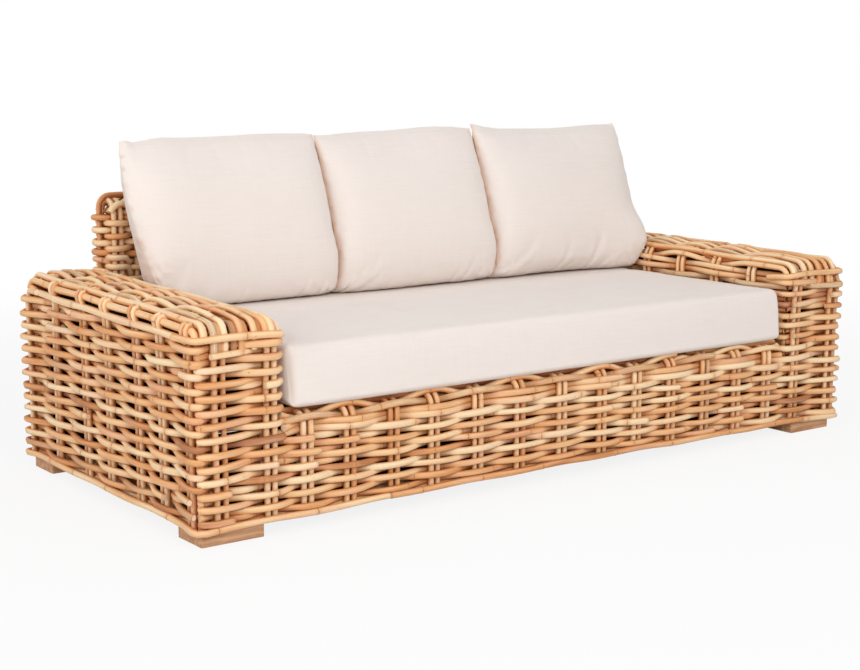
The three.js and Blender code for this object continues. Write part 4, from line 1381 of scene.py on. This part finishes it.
def makeBackCushion(name, left, right, number):
    look = backCushion
    low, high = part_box(name)
    random = np.random.default_rng(810 + number)
    wide = (right - left) / 2
    middle = (right + left) / 2
    isLeft, isRight = number == 0, number == 2
    reaches = [look["leftReach" if isLeft else "gap"], look["rightReach" if isRight else "gap"]]
    curves = {key: np.array(look[key]) for key in ("front", "seam", "back")}
    sway = random.uniform(0, 6.28, 3)

    def along(curve, t):
        place = t * (len(curve) - 1)
        i = np.clip(place.astype(int), 0, len(curve) - 2)
        f = (place - i)[..., None]
        before, after = curve[np.maximum(i - 1, 0)], curve[np.minimum(i + 2, len(curve) - 1)]
        a, b = curve[i], curve[i + 1]
        bend = 2 * before - 5 * a + 4 * b - after + f * (3 * (a - b) + after - before)
        return a + 0.5 * f * (b - before + f * bend)

    def reachAt(u, z):
        return np.where(u < 0, readTable(reaches[0], z), readTable(reaches[1], z))

    def surface(u, v, isBack):
        t = (v + 1) / 2
        full = along(curves["back" if isBack else "front"], t)
        seam = along(curves["seam"], t)
        boxy = np.exp(-((full[..., 1] - 0.55) / 0.09) ** 2)
        power = 0.66 if isBack else 0.60 - 0.16 * boxy
        fullEnd = fade(0.66 - full[..., 1], 0.12) * isRight * (u > 0)
        falloff = 5.5 if isBack else 7 + 2 * boxy + 8 * fullEnd
        plump = np.clip(1 - np.abs(u) ** falloff, 0, 1) ** (power - 0.1 * fullEnd)
        section = seam + (full - seam) * plump[..., None]
        rise = fade(section[..., 1] - 0.60, 0.308) ** 2
        topX = middle + u * wide + np.sign(u) * np.abs(u) ** 2 * reachAt(u, 0.9)
        top = readTable(look["tops"][number], topX)
        z = section[..., 1] + rise * (top - look["tableTop"] - 0.0015 * (1 - u ** 8))
        x = middle + u * wide + np.sign(u) * np.abs(u) ** 2 * reachAt(u, z)
        y = section[..., 0] - look["endForward"] * fade(u - 0.35, 0.65) ** 1.5 * fullEnd
        isFoot = fade(0.50 - z, 0.05) * isRight * (not isBack)
        y = y + look["footBack"] * isFoot * np.clip(1 - ((u + 0.05) / 0.7) ** 2, 0, 1)
        return np.stack([x, y, z], -1)

    made, isRim, isFront = closedForm(name + "_linen", surface, look["across"], look["upward"])
    points = pointValues(made)
    pinned = np.where(isRim, 1.0, 0.0)
    pinned = np.where((points[:, 2] < low[2] + 0.004) & ~isFront, 0.5, pinned)
    puff(made, pinned, *look["puff"])
    points = pointValues(made)
    normals = pointValues(made, "normal")
    puckers = []
    spacing, share, width, depths = look["sidePuckers"]
    for z in np.arange(0.47, 0.90, spacing):
        for edge, way, table in ((left, 1, reaches[0]), (right, -1, reaches[1])):
            edge = edge - way * max(readTable(table, z), 0)
            if random.random() < share:
                puckers.append((edge + way * 0.002, z + random.uniform(-0.008, 0.008),
                                way * random.uniform(0.012, 0.034), random.uniform(-0.010, 0.012),
                                width, random.uniform(*depths)))
    spacing, share, width, depths = look["footPuckers"]
    for x in np.arange(left + 0.02, right - 0.01, spacing):
        if random.random() < share:
            puckers.append((x, 0.4515, random.uniform(-0.004, 0.010), random.uniform(0.014, 0.034),
                            width, random.uniform(*depths)))
    depth = foldDepth(points, look["folds"][number] + puckers) * isFront
    swell = np.sin(points[:, 0] * 13 + sway[0] + points[:, 2] * 9) * np.sin(points[:, 2] * 15 + sway[1])
    depth = depth + look["waver"] * swell
    points = points - normals * depth[:, None] * (~isRim)[:, None]
    slack = [np.maximum(readTable(table, points[:, 2]), 0) + 0.004 * (points[:, 2] > 0.545)
             for table in reaches]
    points[:, 0] = np.maximum(points[:, 0], left + look["clearance"] - slack[0] * isLeft)
    points[:, 0] = np.minimum(points[:, 0], right - look["clearance"] + slack[1] * isRight)
    points[:, 1] = np.minimum(points[:, 1], np.where(points[:, 2] < look["shoulder"], *look["rearLimit"]))
    points[:, 2] = np.maximum(points[:, 2], low[2] + 0.0003)
    setPoints(made, points)
    # painted warm shade along the joints and the foot, darker still at the gathers
    seam = 0.8 * np.exp(-((points[:, 2] - low[2]) / 0.004) ** 2)
    for edge, isOuter in ((left, isLeft), (right, isRight)):
        seam = np.maximum(seam, 0.8 * np.exp(-((points[:, 0] - edge) / 0.009) ** 2) * (not isOuter))
    for x, z, *_ in puckers:
        seam = seam + 0.7 * np.exp(-((points[:, 0] - x) ** 2 + (points[:, 2] - z) ** 2) / 0.0045 ** 2)
    layer = made.data.attributes.new("seam", "FLOAT_VECTOR", "POINT")
    layer.data.foreach_set("vector", np.repeat(np.clip(seam, 0, 1), 3).astype(np.float32))
    dress(made, name)


makeSeatCushion()
meetings = (-0.857, -0.2875, 0.2875, 0.857)  # where the back cushions' ends are
for number, side in enumerate(("left", "centre", "right")):
    makeBackCushion(f"back_cushion_{side}", *meetings[number:number + 2], number)


# stage and light

stageLook = {
    "floor": 40.0,
    "world": 0.55,
    "floorColor": (0.80, 0.80, 0.80),
    "paper": 0.86,  # how white the floor shows near the sofa
    "white": (1.6, 4.5),  # where it goes over to plain white
    "lights": {
        # place, target, size, watts
        "key": ((-1.4, -4.6, 3.0), (0, 0, 0.4), (3.4, 2.4), 126),
        "left": ((-4.8, -0.6, 2.2), (0, 0, 0.4), (2.6, 2.2), 58),
        "above": ((0.45, 0.0, 2.6), (0.45, -0.1, 0.4), (1.2, 1.0), 2.4),
    },
}
far = stageLook["floor"]
floor = newObject("floor", [(-far, -far, 0), (far, -far, 0), (far, far, 0), (-far, far, 0)], [(0, 1, 2, 3)])


def seenShare(finish):
    path = [finish.node("ShaderNodeLightPath", output=kind)
            for kind in ("Is Camera Ray", "Is Glossy Ray", "Is Transmission Ray")]
    return finish.node("ShaderNodeMath", {"operation": "MINIMUM"}, {0: path[0] + path[1] + path[2], 1: 1.0})


finish = Finish("floorPaper")
paper = finish.node("ShaderNodeBsdfDiffuse", None, {"Color": stageLook["floorColor"]})
glow = finish.node("ShaderNodeEmission", None, {"Color": (1.0, 1.0, 1.0), "Strength": 1.0})
place = finish.node("ShaderNodeTexCoord", output="Object")
away = finish.node("ShaderNodeVectorMath", {"operation": "LENGTH"}, {0: place}, output="Value")
white = finish.smooth(away, *stageLook["white"], stageLook["paper"], 1.0)
mixed = finish.node("ShaderNodeMixShader", None, {0: seenShare(finish) * white, 1: paper, 2: glow})
floor.data.materials.append(finish.show(mixed))

scene.world = bpy.data.worlds.new("studio")
finish = Finish("studio", scene.world)
strength = seenShare(finish) * (1.0 - stageLook["world"]) + stageLook["world"]
sky = finish.node("ShaderNodeBackground", None, {"Color": (1.0, 1.0, 1.0), "Strength": strength})
finish.show(sky, "ShaderNodeOutputWorld")

for name, (place, target, size, power) in stageLook["lights"].items():
    light = bpy.data.lights.new(name, "AREA")
    light.shape = "RECTANGLE"
    light.size, light.size_y = size
    light.energy = power
    lamp = bpy.data.objects.new(name, light)
    lamp.location = place
    lamp.rotation_euler = (Vector(target) - Vector(place)).to_track_quat("-Z", "Y").to_euler()
    scene.collection.objects.link(lamp)
print("stage lit")
